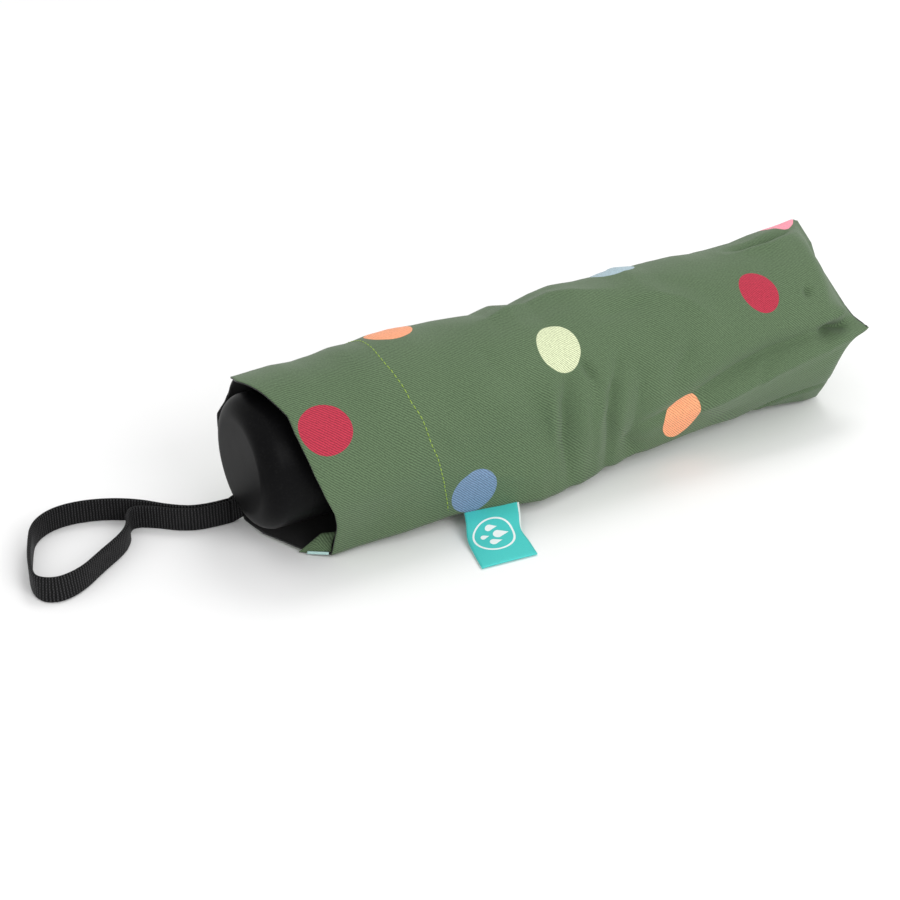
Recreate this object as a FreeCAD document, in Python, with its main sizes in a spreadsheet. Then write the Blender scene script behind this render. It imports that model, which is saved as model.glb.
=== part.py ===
"""A children's folding umbrella, closed and packed in its fabric sleeve, lying on a flat surface.

Sub-parts are drawn with x = 0 at the handle's end face, +X along the shaft to the sleeve's closed end and the
shaft's axis on the X axis. Each one's Placement then puts the origin on the surface, under the shaft, halfway
along the sleeved umbrella.
"""
import FreeCAD, Part
import math
import os
import Sketcher
from FreeCAD import Placement, Rotation, Vector

sizes = {
    # the whole
    "overall_length": 218.0,
    "running_gap": 0.3,
    "fit_gap": 0.05,
    # handle
    "cap_inset": 2.5,
    "cap_round": 6.5,
    "cap_wall": 2.2,
    "cap_skirt": 15.0,
    "grip_length": 36.0,
    "grip_taper": 3.0,
    "plug_depth": 7.0,
    "hub_radius": 6.0,
    "web_place": 17.0,
    "web_thickness": 2.5,
    "tube_pin_radius": 0.8,
    # wrist strap
    "strap_width": 8.0,
    "strap_thickness": 1.2,
    "strap_roll": 218.0,
    "ply_gap": 0.2,
    "tail_gap": 0.5,
    "tail_flat": 9.0,
    "slot_place": 27.0,
    "slot_length": 9.4,
    "slot_width": 3.6,
    "anchor_radius": 1.2,
    "anchor_reach": 11.5,
    # telescopic shaft
    "lower_tube_radius": 3.0,
    "tube_wall": 0.5,
    "tube_step": 6.0,
    "tube_start": 41.0,
    "catch_length": 11.0,
    "catch_nose": 2.0,
    "catch_width": 1.8,
    "catch_thickness": 0.4,
    "catch_share": 0.7,
    "window_gap": 0.1,
    # crown, runner and their hinge wires
    "end_room": 20.0,
    "crown_rim": 2.0,
    "crown_length": 9.0,
    "crown_top": 1.6,
    "ferrule_radius": 7.0,
    "ferrule_length": 5.0,
    "ferrule_round": 3.5,
    "ferrule_stem": 1.5,
    "runner_wall": 1.7,
    "runner_length": 19.0,
    "flange_rim": 1.8,
    "flange_place": 44.0,
    "flange_length": 6.0,
    "hinge_rise": 0.9,
    "hinge_wire": 0.45,
    "button_radius": 2.2,
    "button_rise": 2.6,
    "button_travel": 1.2,
    "button_place": 55.5,
    # ribs
    "rib_count": 6,
    "rib_height": 2.6,
    "rib_wall": 0.4,
    "rib_layer_gap": 0.4,
    "rib_room": 0.7,
    "stretcher_width": 2.4,
    "upper_rib_width": 2.8,
    "middle_rib_width": 3.2,
    "tongue_thickness": 1.0,
    "cheek_length": 5.0,
    "elbow_place": 50.0,
    "stretcher_drop": 60.0,
    "outer_elbow_drop": 12.0,
    "end_rib_radius": 0.8,
    "end_rib_gap": 0.2,
    "rod_radius": 0.5,
    "rod_overrun": 0.7,
    "hook_radius": 0.45,
    "rod_rise": 0.3,
    "rod_gap": 0.25,
    "rod_inset": 6.0,
    "rod_drop": 68.0,
    "rivet_radius": 0.5,
    "rivet_head": 0.8,
    "rivet_head_height": 0.3,
    "tip_radius": 1.3,
    "tip_length": 3.2,
    "socket_depth": 1.92,
    # canopy bundle and its tie
    "roll_thickness": 5.6,
    "roll_gap": 0.2,
    "bundle_start": 38.0,
    "bundle_round": 3.0,
    "canopy_cloth": 1.2,
    "tie_place": 96.0,
    "tie_width": 16.0,
    "tie_thickness": 0.7,
    "tie_tab": 60.0,
    "snap_radius": 5.0,
    "snap_thickness": 0.7,
    # sleeve
    "cap_overhang": 9.0,
    "strap_room": 3.4,
    "underside_drop": 1.0,
    "sleeve_wall": 0.8,
    "seam_reach": 22.0,
    "floor_reach": 14.0,
    "ear_taper": 18.0,
    "ear_half": 27.0,
    "ear_tilt": 20.0,
    "ear_height": 10.0,
    "ear_side": 5.0,
    "ear_crown": 1.4,
    "end_thickness": 4.0,
    "hem_place": 53.0,
    "thread_width": 0.6,
    "label_place": 57.0,
    "label_width": 20.0,
    "label_length": 22.0,
    "label_thickness": 0.9,
    "label_lift": 4.6,
}

doc = FreeCAD.newDocument("folding_umbrella")
sheet = doc.addObject("Spreadsheet::Sheet", "sizes")
for row, (name, number) in enumerate(sizes.items(), start=1):
    sheet.set(f"A{row}", name)
    sheet.set(f"B{row}", str(number))
    sheet.setAlias(f"B{row}", name)
doc.recompute()

parts = []


def value(expression):
    return float(sheet.evalExpression(str(expression)))


# Places and radii that several sub-parts share, as expressions on the sheet.
tubeGap = "sizes.running_gap + sizes.tube_wall"
middleRadius = f"(sizes.lower_tube_radius + {tubeGap})"
upperRadius = f"(sizes.lower_tube_radius + 2 * ({tubeGap}))"
canopyEnd = "(sizes.overall_length - sizes.end_room)"
crownEnd = f"({canopyEnd} - sizes.canopy_cloth - sizes.running_gap)"
crownStart = f"({crownEnd} - sizes.crown_length)"
crownHinge = f"({crownStart} + sizes.crown_length / 2)"
runnerHinge = "(sizes.flange_place + sizes.flange_length / 2)"
runnerRadius = f"({upperRadius} + sizes.running_gap + sizes.runner_wall)"
hingeRing = f"({runnerRadius} + sizes.hinge_rise)"
crownRadius = f"({hingeRing} + sizes.crown_rim)"
flangeRadius = f"({hingeRing} + sizes.flange_rim)"
ribLayer = "(sizes.rib_height + sizes.rib_layer_gap)"
ribStart = f"({runnerRadius} + sizes.rib_room)"
upperRibStart = f"({ribStart} + {ribLayer})"
middleRibStart = f"({ribStart} + 2 * {ribLayer})"
upperRibEnd = f"({upperRibStart} + sizes.rib_height)"
middleRibEnd = f"({middleRibStart} + sizes.rib_height)"
endRibRing = f"({middleRibEnd} + sizes.end_rib_gap + sizes.end_rib_radius)"
bundleCore = f"({endRibRing} + sizes.tip_radius + sizes.roll_gap)"
bundleRadius = f"({bundleCore} + sizes.roll_thickness)"
tieOuter = f"({bundleRadius} + sizes.fit_gap + sizes.tie_thickness)"
capRadius = f"({bundleRadius} - sizes.cap_inset)"
tailDepth = "(2 * sizes.strap_thickness + sizes.ply_gap)"
sleeveRadius = f"({capRadius} + sizes.tail_gap + {tailDepth} + sizes.strap_room)"
axisHeight = f"({sleeveRadius} + sizes.underside_drop)"


def bind(thing, expressions):
    for field, expression in expressions.items():
        thing.setExpression(field, str(expression))
    return thing


def moveTo(thing, x="0", y="0", z="0"):
    return bind(thing, {"Placement.Base.x": x, "Placement.Base.y": y, "Placement.Base.z": z})


def held(*things):
    """Holds shapes where they are, as one object with a Placement of its own."""
    holder = doc.addObject("Part::Compound", "held")
    holder.Links = list(things)
    return holder


def rolled(thing, angle):
    """A copy of a shape, rolled about the shaft's axis by an angle in degrees."""
    holder = held(thing)
    holder.Placement = Placement(Vector(), Rotation(Vector(1, 0, 0), angle))
    return holder


def finish(thing, label, roll=0.0):
    """Names a sub-part and sets it on the shaft's line, rolled about that line by an angle in degrees."""
    thing.Label = label
    thing.Placement = Placement(Vector(), Rotation(Vector(1, 0, 0), roll))
    moveTo(thing, x="-sizes.overall_length / 2", z=axisHeight)
    parts.append(thing)
    return thing


def pinPoint(sketch, line, axis, expression):
    """Fixes a line's first point along one axis of the sketch, at a distance that the sheet gives."""
    distance = value(expression)
    name = f"{'x' if axis == 'DistanceX' else 'y'}{line}"
    if abs(distance) < 1e-9:
        sketch.addConstraint(Sketcher.Constraint("PointOnObject", line, 1, -2 if axis == "DistanceX" else -1))
        return
    ends = (-1, 1, line, 1) if distance > 0 else (line, 1, -1, 1)
    sketch.addConstraint(Sketcher.Constraint(axis, *ends, abs(distance)))
    sketch.renameConstraint(sketch.ConstraintCount - 1, name)
    sign = "" if distance > 0 else "-"
    sketch.setExpression(f"Constraints.{name}", f"{sign}({expression})")


def polygonSketch(body, plane, points):
    """A closed outline of straight lines in a body's origin plane; each point is a pair of expressions."""
    sketch = body.newObject("Sketcher::SketchObject", "outline")
    origin = [feature for feature in body.Origin.OriginFeatures if feature.Role == plane][0]
    sketch.AttachmentSupport = (origin, "")
    sketch.MapMode = "FlatFace"
    corners = [Vector(value(x), value(y), 0) for x, y in points]
    count = len(corners)
    for n in range(count):
        sketch.addGeometry(Part.LineSegment(corners[n], corners[(n + 1) % count]))
    for n in range(count):
        sketch.addConstraint(Sketcher.Constraint("Coincident", n, 2, (n + 1) % count, 1))
    for n, (x, y) in enumerate(points):
        pinPoint(sketch, n, "DistanceX", x)
        pinPoint(sketch, n, "DistanceY", y)
    return sketch


def turned(name, points):
    """A body turned about the shaft's axis from an outline of (x, radius) pairs."""
    body = doc.addObject("PartDesign::Body", name)
    sketch = polygonSketch(body, "XY_Plane", points)
    revolution = body.newObject("PartDesign::Revolution", "turning")
    revolution.Profile = sketch
    revolution.ReferenceAxis = (sketch, ["H_Axis"])
    revolution.Angle = 360
    doc.recompute()
    return body


def roundRim(body, x, radius, size):
    """Rounds a turned body's circular edge at a given place and radius."""
    where, reach = value(x), value(radius)
    base = body.Tip
    found = [
        f"Edge{n}"
        for n, edge in enumerate(base.Shape.Edges, start=1)
        if isinstance(edge.Curve, Part.Circle)
        and abs(edge.Curve.Radius - reach) < 1e-4
        and abs(edge.Curve.Center.x - where) < 1e-4
    ]
    fillet = body.newObject("PartDesign::Fillet", "rounding")
    fillet.Base = (base, found)
    fillet.setExpression("Radius", str(size))
    body.Tip = fillet
    doc.recompute()
    return body


def tube(name, start, end, radius, bore):
    return turned(name, [(start, bore), (end, bore), (end, radius), (start, radius)])


def block(x, y, z, length, width, height):
    """A box from a corner at x, y, z; every value is an expression."""
    box = doc.addObject("Part::Box", "block")
    bind(box, {"Length": length, "Width": width, "Height": height})
    return moveTo(box, x, y, z)


def ribBlock(start, end, width, low, high):
    """A box centred across a rib: from start to end along the shaft and from low to high outwards."""
    return block(start, f"-({width}) / 2", low, f"({end}) - ({start})", width, f"({high}) - ({low})")


def bar(x, y, z, radius, length, direction):
    """A round bar from a point, along +X, +Y or +Z."""
    cylinder = doc.addObject("Part::Cylinder", "bar")
    turns = {"X": (Vector(0, 1, 0), 90), "Y": (Vector(1, 0, 0), -90), "Z": (Vector(0, 0, 1), 0)}
    cylinder.Placement = Placement(Vector(), Rotation(*turns[direction]))
    bind(cylinder, {"Radius": radius, "Height": length})
    return moveTo(cylinder, x, y, z)


def ring(x, radius, wire):
    """A round wire bent into a ring about the shaft."""
    torus = doc.addObject("Part::Torus", "ring")
    torus.Placement = Placement(Vector(), Rotation(Vector(0, 1, 0), 90))
    bind(torus, {"Radius1": radius, "Radius2": wire})
    return moveTo(torus, x)


def fused(*shapes):
    union = doc.addObject("Part::MultiFuse", "union")
    union.Shapes = list(shapes)
    union.Refine = True
    return union


def without(base, *tools):
    cut = doc.addObject("Part::Cut", "cut")
    cut.Base = base
    cut.Tool = tools[0] if len(tools) == 1 else fused(*tools)
    return cut


def shape(name, solid):
    """A sub-part whose shape is made with Part's own functions, from sizes read off the sheet."""
    feature = doc.addObject("Part::Feature", name)
    feature.Shape = solid
    return feature


ribCount = int(sizes["rib_count"])
ribAngles = [360 / ribCount * n for n in range(ribCount)]


# Handle: a moulded cap pushed on to a grip, which holds the lower tube and the wrist strap.
capBore = f"({capRadius} - sizes.cap_wall)"
plugRadius = f"({capBore} - sizes.fit_gap)"
plugBore = f"({plugRadius} - sizes.cap_wall)"
tubeSeat = "(sizes.lower_tube_radius + sizes.fit_gap)"
plugStart = "(sizes.cap_skirt - sizes.plug_depth)"
webEnd = "(sizes.web_place + sizes.web_thickness)"

cap = turned(
    "cap",
    [
        ("0", "0"),
        ("sizes.cap_wall", "0"),
        ("sizes.cap_wall", capBore),
        ("sizes.cap_skirt", capBore),
        ("sizes.cap_skirt", capRadius),
        ("0", capRadius),
    ],
)
roundRim(cap, "0", capRadius, "sizes.cap_round")
roundRim(cap, "sizes.cap_wall", capBore, "sizes.cap_round - sizes.cap_wall")
finish(cap, "end_cap")

grip = turned(
    "grip_shell",
    [
        (plugStart, tubeSeat),
        (plugStart, "sizes.hub_radius"),
        ("sizes.web_place", "sizes.hub_radius"),
        ("sizes.web_place", plugBore),
        (plugStart, plugBore),
        (plugStart, plugRadius),
        ("sizes.cap_skirt + sizes.fit_gap", plugRadius),
        ("sizes.cap_skirt + sizes.fit_gap", capRadius),
        ("sizes.grip_length - sizes.grip_taper", capRadius),
        ("sizes.grip_length", f"{capRadius} - sizes.grip_taper"),
        ("sizes.grip_length", f"{capRadius} - sizes.grip_taper - sizes.cap_wall"),
        ("sizes.grip_length - sizes.grip_taper", capBore),
        (webEnd, capBore),
        (webEnd, "sizes.hub_radius"),
        ("sizes.grip_length", "sizes.hub_radius"),
        ("sizes.grip_length", tubeSeat),
    ],
)
pinPlace = f"({plugStart} + sizes.cap_skirt) / 2"
strapRoll = sizes["strap_roll"]
slot = block(
    "sizes.slot_place - sizes.slot_width / 2",
    "-sizes.slot_length / 2",
    f"{capRadius} / 2",
    "sizes.slot_width",
    "sizes.slot_length",
    capRadius,
)
anchorLength = f"2 * sqrt({capRadius} ^ 2 - sizes.anchor_reach ^ 2) - 2 * sizes.cap_wall"
anchorSide = f"-({anchorLength}) / 2"
anchorHole = bar(
    "sizes.slot_place", anchorSide, "sizes.anchor_reach", "sizes.anchor_radius + sizes.fit_gap", anchorLength, "Y"
)
tubePinHole = bar(
    pinPlace, "0", "-2 * sizes.hub_radius", "sizes.tube_pin_radius + sizes.fit_gap", "4 * sizes.hub_radius", "Z"
)
gripHoles = fused(rolled(slot, strapRoll), rolled(anchorHole, strapRoll), tubePinHole)
finish(without(grip, gripHoles), "grip")
anchorPin = bar("sizes.slot_place", anchorSide, "sizes.anchor_reach", "sizes.anchor_radius", anchorLength, "Y")
finish(held(anchorPin), "strap_anchor_pin", strapRoll)
tubePin = bar(pinPlace, "0", "-sizes.hub_radius", "sizes.tube_pin_radius", "2 * sizes.hub_radius", "Z")
finish(held(tubePin), "tube_pin")


# Telescopic shaft: each tube slides on the one inside it, and a sprung catch near each inner tube's end locks it.
upperBore = f"({upperRadius} - sizes.tube_wall)"
middleBore = f"({middleRadius} - sizes.tube_wall)"
lowerBore = "(sizes.lower_tube_radius - sizes.tube_wall)"
crownSeat = f"({crownEnd} - 2 * sizes.crown_top)"
upperEnd = f"({crownSeat} - sizes.fit_gap)"
middleEnd = f"({upperEnd} - sizes.tube_step)"
lowerEnd = f"({middleEnd} - sizes.catch_length - sizes.tube_step)"


def catchNose(end, low, high, clearance):
    """The catch's nose, or with a clearance the window that it passes through."""
    return ribBlock(
        f"{end} - 2 * sizes.catch_nose - {clearance}",
        f"{end} - sizes.catch_nose + {clearance}",
        f"sizes.catch_width + 2 * {clearance}",
        low,
        high,
    )


def springCatch(end, bore, radius):
    """A strip bent into a U along a tube's bore, with a nose that stands in the tube's window."""
    start = f"{end} - sizes.catch_length"
    tip = f"{end} - sizes.catch_nose / 2"
    high = f"{bore} * sizes.catch_share"
    upper = ribBlock(start, tip, "sizes.catch_width", f"{high} - sizes.catch_thickness", high)
    lower = ribBlock(start, tip, "sizes.catch_width", f"-{high}", f"-{high} + sizes.catch_thickness")
    bend = ribBlock(start, f"{start} + sizes.catch_thickness", "sizes.catch_width", f"-{high}", high)
    nose = catchNose(end, f"{high} - sizes.catch_thickness", f"{radius} - sizes.fit_gap", "0")
    return fused(upper, lower, bend, nose)


def shaftTube(label, start, end, radius, bore, holes):
    """A tube with whatever holes it has."""
    body = tube(label + "_blank", start, end, radius, bore)
    finish(without(body, *holes) if holes else body, label)


lowerWindow = catchNose(lowerEnd, "0", "2 * sizes.lower_tube_radius", "sizes.window_gap")
middleWindow = catchNose(middleEnd, "0", "2 * sizes.lower_tube_radius", "sizes.window_gap")
shaftTube("lower_tube", plugStart, lowerEnd, "sizes.lower_tube_radius", lowerBore, [lowerWindow, tubePinHole])
shaftTube("middle_tube", "sizes.tube_start", middleEnd, middleRadius, middleBore, [middleWindow])
shaftTube("upper_tube", "sizes.tube_start", upperEnd, upperRadius, upperBore, [])
finish(springCatch(lowerEnd, lowerBore, "sizes.lower_tube_radius"), "lower_tube_catch")
finish(springCatch(middleEnd, middleBore, middleRadius), "middle_tube_catch")


# Crown and runner: slotted rings that hold the ribs' ends on a wire.
wireHole = "sizes.hinge_wire + sizes.fit_gap"
slotWidth = "sizes.tongue_thickness + 2 * sizes.running_gap"
tubeFit = f"({upperRadius} + sizes.fit_gap)"
stemFit = "(sizes.ferrule_stem + sizes.fit_gap)"

crown = turned(
    "crown_blank",
    [
        (crownStart, tubeFit),
        (crownSeat, tubeFit),
        (crownSeat, stemFit),
        (crownEnd, stemFit),
        (crownEnd, crownRadius),
        (crownStart, crownRadius),
    ],
)
crownSlot = ribBlock(
    f"{crownStart} - 1",
    f"{crownEnd} - sizes.crown_top",
    slotWidth,
    f"{tubeFit} + sizes.rib_wall",
    f"2 * {crownRadius}",
)
crownCuts = [rolled(crownSlot, angle) for angle in ribAngles]
finish(without(crown, ring(crownHinge, hingeRing, wireHole), *crownCuts), "crown")
finish(held(ring(crownHinge, hingeRing, "sizes.hinge_wire")), "crown_wire")

ferruleBase = f"({canopyEnd} + sizes.fit_gap)"
ferruleEnd = f"({ferruleBase} + sizes.ferrule_length)"
stemEnd = f"({crownSeat} + sizes.fit_gap)"
ferrule = turned(
    "ferrule_blank",
    [
        (stemEnd, "0"),
        (ferruleEnd, "0"),
        (ferruleEnd, "sizes.ferrule_radius"),
        (ferruleBase, "sizes.ferrule_radius"),
        (ferruleBase, "sizes.ferrule_stem"),
        (stemEnd, "sizes.ferrule_stem"),
    ],
)
roundRim(ferrule, ferruleEnd, "sizes.ferrule_radius", "sizes.ferrule_round")
finish(ferrule, "ferrule")

flangeEnd = "(sizes.flange_place + sizes.flange_length)"
runnerEnd = "(sizes.tube_start + sizes.runner_length)"
runnerBore = f"({upperRadius} + sizes.running_gap)"
runner = turned(
    "runner_blank",
    [
        ("sizes.tube_start", runnerBore),
        (runnerEnd, runnerBore),
        (runnerEnd, runnerRadius),
        (flangeEnd, runnerRadius),
        (flangeEnd, flangeRadius),
        ("sizes.flange_place", flangeRadius),
        ("sizes.flange_place", runnerRadius),
        ("sizes.tube_start", runnerRadius),
    ],
)
flangeSlot = ribBlock(
    "sizes.flange_place - 1",
    f"{flangeEnd} + 1",
    slotWidth,
    runnerRadius,
    f"2 * {flangeRadius}",
)
buttonRoll = ribAngles[1] / 2
buttonLow = f"({runnerBore} + sizes.button_travel + sizes.running_gap / 2)"
buttonWindow = bar(
    "sizes.button_place", "0", "0", "sizes.button_radius + 2 * sizes.fit_gap", f"2 * {runnerRadius}", "Z"
)
runnerCuts = [rolled(flangeSlot, angle) for angle in ribAngles]
runnerCuts.append(rolled(buttonWindow, buttonRoll))
finish(without(runner, ring(runnerHinge, hingeRing, wireHole), *runnerCuts), "runner")
finish(held(ring(runnerHinge, hingeRing, "sizes.hinge_wire")), "runner_wire")
button = bar("sizes.button_place", "0", buttonLow, "sizes.button_radius", "sizes.button_rise", "Z")
finish(held(button), "runner_button", buttonRoll)


# Ribs: folded in three, each set lies in one line beside the shaft. They are pressed channels, open inwards.
stretcherPivot = f"({crownHinge} - sizes.stretcher_drop)"
outerElbow = f"({crownHinge} - sizes.outer_elbow_drop)"
rodStart = "(sizes.elbow_place - sizes.rod_inset)"
rodEnd = f"({crownHinge} - sizes.rod_drop)"
halfCheek = "sizes.cheek_length / 2"
stretcherPin = f"({ribStart} + sizes.rib_height / 2)"
elbowPin = f"({upperRibStart} + sizes.rib_height / 2)"
rodRing = f"({elbowPin} + sizes.rod_rise)"
rivetReach = "(sizes.middle_rib_width / 2 + sizes.rib_wall + sizes.fit_gap)"
rodOffset = f"({rivetReach} + sizes.rivet_head_height + sizes.rod_gap + sizes.rod_radius)"


def channel(start, end, width, low):
    outer = ribBlock(start, end, width, low, f"{low} + sizes.rib_height")
    hollow = ribBlock(
        f"{start} - 1",
        f"{end} + 1",
        f"{width} - 2 * sizes.rib_wall",
        f"{low} - 1",
        f"{low} + sizes.rib_height - sizes.rib_wall",
    )
    return without(outer, hollow)


def cheeks(start, end, width, low, high):
    """Two ears, one each side of a rib, that hold a rivet."""
    outer = ribBlock(start, end, f"{width} + 2 * sizes.rib_wall", low, high)
    between = ribBlock(f"{start} - 1", f"{end} + 1", width, f"{low} - 1", f"{high} + 1")
    return without(outer, between)


def rivetHole(x, low, radius="sizes.rivet_radius + sizes.fit_gap"):
    return bar(x, "-2 * sizes.middle_rib_width", low, radius, "4 * sizes.middle_rib_width", "Y")


def stretcher():
    strip = channel(f"{flangeEnd} + 1", f"{stretcherPivot} + {halfCheek}", "sizes.stretcher_width", ribStart)
    tongue = ribBlock(
        f"{runnerHinge} - 3 * sizes.hinge_wire",
        f"{flangeEnd} + 3",
        "sizes.tongue_thickness",
        f"{runnerRadius} + sizes.running_gap",
        f"{ribStart} + sizes.rib_height",
    )
    holes = [ring(runnerHinge, hingeRing, wireHole), rivetHole(stretcherPivot, stretcherPin)]
    return without(fused(strip, tongue), *holes)


def upperRib():
    strip = channel(f"sizes.elbow_place - {halfCheek}", f"{crownStart} - 1", "sizes.upper_rib_width", upperRibStart)
    tongue = ribBlock(
        f"{crownStart} - 4",
        f"{crownHinge} + 3 * sizes.hinge_wire",
        "sizes.tongue_thickness",
        f"{hingeRing} - 3 * sizes.hinge_wire",
        upperRibEnd,
    )
    ears = cheeks(
        f"{stretcherPivot} - {halfCheek}",
        f"{stretcherPivot} + {halfCheek}",
        "sizes.upper_rib_width",
        f"{ribStart} + sizes.rib_wall",
        f"{upperRibEnd} - sizes.rib_wall",
    )
    holes = [
        ring(crownHinge, hingeRing, wireHole),
        rivetHole(stretcherPivot, stretcherPin),
        rivetHole("sizes.elbow_place", elbowPin),
        bar(rodEnd, "0", rodRing, "sizes.rod_radius + sizes.fit_gap", rodOffset, "Y"),
    ]
    return without(fused(strip, tongue, ears), *holes)


def middleRib():
    strip = channel(
        f"{rodStart} - {halfCheek}", f"{outerElbow} + {halfCheek}", "sizes.middle_rib_width", middleRibStart
    )
    innerEars = cheeks(
        f"{rodStart} - {halfCheek}",
        f"sizes.elbow_place + {halfCheek}",
        "sizes.middle_rib_width",
        f"{upperRibStart} + sizes.rib_wall",
        f"{middleRibEnd} - sizes.rib_wall",
    )
    outerEars = cheeks(
        f"{outerElbow} - {halfCheek}",
        f"{outerElbow} + {halfCheek}",
        "sizes.middle_rib_width",
        f"{middleRibStart} + sizes.rib_wall",
        f"{endRibRing} + sizes.end_rib_radius + sizes.running_gap",
    )
    holes = [
        rivetHole("sizes.elbow_place", elbowPin),
        rivetHole(outerElbow, endRibRing),
        bar(rodStart, "0", rodRing, "sizes.rod_radius + sizes.fit_gap", rodOffset, "Y"),
    ]
    return without(fused(strip, innerEars, outerEars), *holes)


tipEnd = "(sizes.bundle_start + sizes.tip_length)"
wireStart = f"({tipEnd} - sizes.socket_depth)"


def endRib():
    wire = bar(
        wireStart,
        "0",
        endRibRing,
        "sizes.end_rib_radius",
        f"{outerElbow} - 2 * sizes.end_rib_radius - {wireStart}",
        "X",
    )
    eyelet = ribBlock(
        f"{outerElbow} - 3 * sizes.end_rib_radius",
        f"{outerElbow} + 2 * sizes.end_rib_radius",
        "2 * sizes.end_rib_radius",
        f"{endRibRing} - sizes.end_rib_radius",
        f"{endRibRing} + sizes.end_rib_radius",
    )
    return without(fused(wire, eyelet), rivetHole(outerElbow, endRibRing))


def ribTip():
    nose = bar("sizes.bundle_start", "0", endRibRing, "sizes.tip_radius", "sizes.tip_length", "X")
    socket = bar(
        f"{wireStart} - sizes.fit_gap",
        "0",
        endRibRing,
        "sizes.end_rib_radius + sizes.fit_gap",
        "sizes.tip_length",
        "X",
    )
    return without(nose, socket)


def pullRod():
    rod = bar(
        f"{rodStart} - sizes.rod_overrun",
        rodOffset,
        rodRing,
        "sizes.rod_radius",
        f"{rodEnd} - {rodStart} + 2 * sizes.rod_overrun",
        "X",
    )
    innerHook = bar(
        rodStart,
        "sizes.middle_rib_width / 2 - sizes.rib_wall",
        rodRing,
        "sizes.hook_radius",
        f"{rodOffset} - sizes.middle_rib_width / 2 + sizes.rib_wall",
        "Y",
    )
    outerHook = bar(
        rodEnd,
        "sizes.upper_rib_width / 2 - 2 * sizes.rib_wall",
        rodRing,
        "sizes.hook_radius",
        f"{rodOffset} - sizes.upper_rib_width / 2 + 2 * sizes.rib_wall",
        "Y",
    )
    return fused(rod, innerHook, outerHook)


def rivet(x, low, width):
    """A rivet across a rib, with a low head outside each ear."""
    reach = f"({width} / 2 + sizes.rib_wall + sizes.fit_gap)"
    shank = bar(x, f"-{reach}", low, "sizes.rivet_radius", f"2 * {reach}", "Y")
    head = bar(x, reach, low, "sizes.rivet_head", "sizes.rivet_head_height", "Y")
    foot = bar(x, f"-{reach} - sizes.rivet_head_height", low, "sizes.rivet_head", "sizes.rivet_head_height", "Y")
    return fused(shank, head, foot)


ribKinds = {
    "stretcher": stretcher,
    "upper_rib": upperRib,
    "middle_rib": middleRib,
    "end_rib": endRib,
    "rib_tip": ribTip,
    "pull_rod": pullRod,
}
for number, angle in enumerate(ribAngles, start=1):
    for kind, make in ribKinds.items():
        finish(make(), f"{kind}_{number}", angle)

rivets = [
    rivet(stretcherPivot, stretcherPin, "sizes.upper_rib_width"),
    rivet("sizes.elbow_place", elbowPin, "sizes.middle_rib_width"),
    rivet(outerElbow, endRibRing, "sizes.middle_rib_width"),
]
finish(held(*[rolled(one, angle) for angle in ribAngles for one in rivets]), "rib_rivets")


# Canopy: the cloth rolled round the ribs, closed over the crown, with its tie and snap.
canopy = turned(
    "canopy_blank",
    [
        ("sizes.bundle_start", bundleCore),
        (f"{canopyEnd} - sizes.canopy_cloth", bundleCore),
        (f"{canopyEnd} - sizes.canopy_cloth", stemFit),
        (canopyEnd, stemFit),
        (canopyEnd, bundleRadius),
        ("sizes.bundle_start", bundleRadius),
    ],
)
roundRim(canopy, canopyEnd, bundleRadius, "sizes.bundle_round")
roundRim(canopy, "sizes.bundle_start", bundleRadius, "sizes.bundle_round")
finish(canopy, "canopy")

tieInner = f"({bundleRadius} + sizes.fit_gap)"
tabOuter = f"({tieOuter} + sizes.tie_thickness)"
band = tube("tie_band", "sizes.tie_place", "sizes.tie_place + sizes.tie_width", tieOuter, tieInner)
tabDisc = bar("sizes.tie_place", "0", "0", tabOuter, "sizes.tie_width", "X")
tabDisc.setExpression("Angle", "sizes.tie_tab")
tabBore = bar("sizes.tie_place - 1", "0", "0", tieOuter, "sizes.tie_width + 2", "X")
tab = rolled(without(tabDisc, tabBore), 180 - sizes["tie_tab"] / 2)
finish(fused(band, tab), "tie_strap")
snap = bar(
    "sizes.tie_place + sizes.tie_width / 2", "0", tabOuter, "sizes.snap_radius", "sizes.snap_thickness", "Z"
)
finish(held(snap), "tie_snap")


# Sleeve: a soft tube that lies flat on the surface and hangs as an arc over the bundle. Its lower front seam
# stands out as a ridge, and the closed end is pinched into a seam between two ears.
# Each station: its share of the way from the mouth to the shoulder, and the seam's reach there, of the full one.
fullReach = 1.08
sleeveStations = [(0.0, 0.95), (0.35, fullReach), (0.5, fullReach), (0.7, 0.85), (1.0, 0.7)]


def sleeveSection(x, reach, inset):
    """The sleeve's outline at x, moved inwards by inset: an arc, and straight runs down to the flat underside."""
    radius = value(sleeveRadius) - inset
    low = -value(axisHeight) + (inset if inset > 0 else -1)
    front = Vector(x, -(reach - 2 * inset), low)
    back = Vector(x, value("sizes.floor_reach") - inset, low)

    def tangent(point, side):
        distance = math.hypot(point.y, point.z)
        angle = math.atan2(point.z, point.y) + side * math.acos(radius / distance)
        return Vector(x, radius * math.cos(angle), radius * math.sin(angle))

    start, stop, top = tangent(back, 1), tangent(front, -1), Vector(x, 0, radius)
    return Part.Wire(
        [
            Part.Arc(start, top, stop).toShape(),
            Part.LineSegment(stop, front).toShape(),
            Part.LineSegment(front, back).toShape(),
            Part.LineSegment(back, start).toShape(),
        ]
    )


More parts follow.
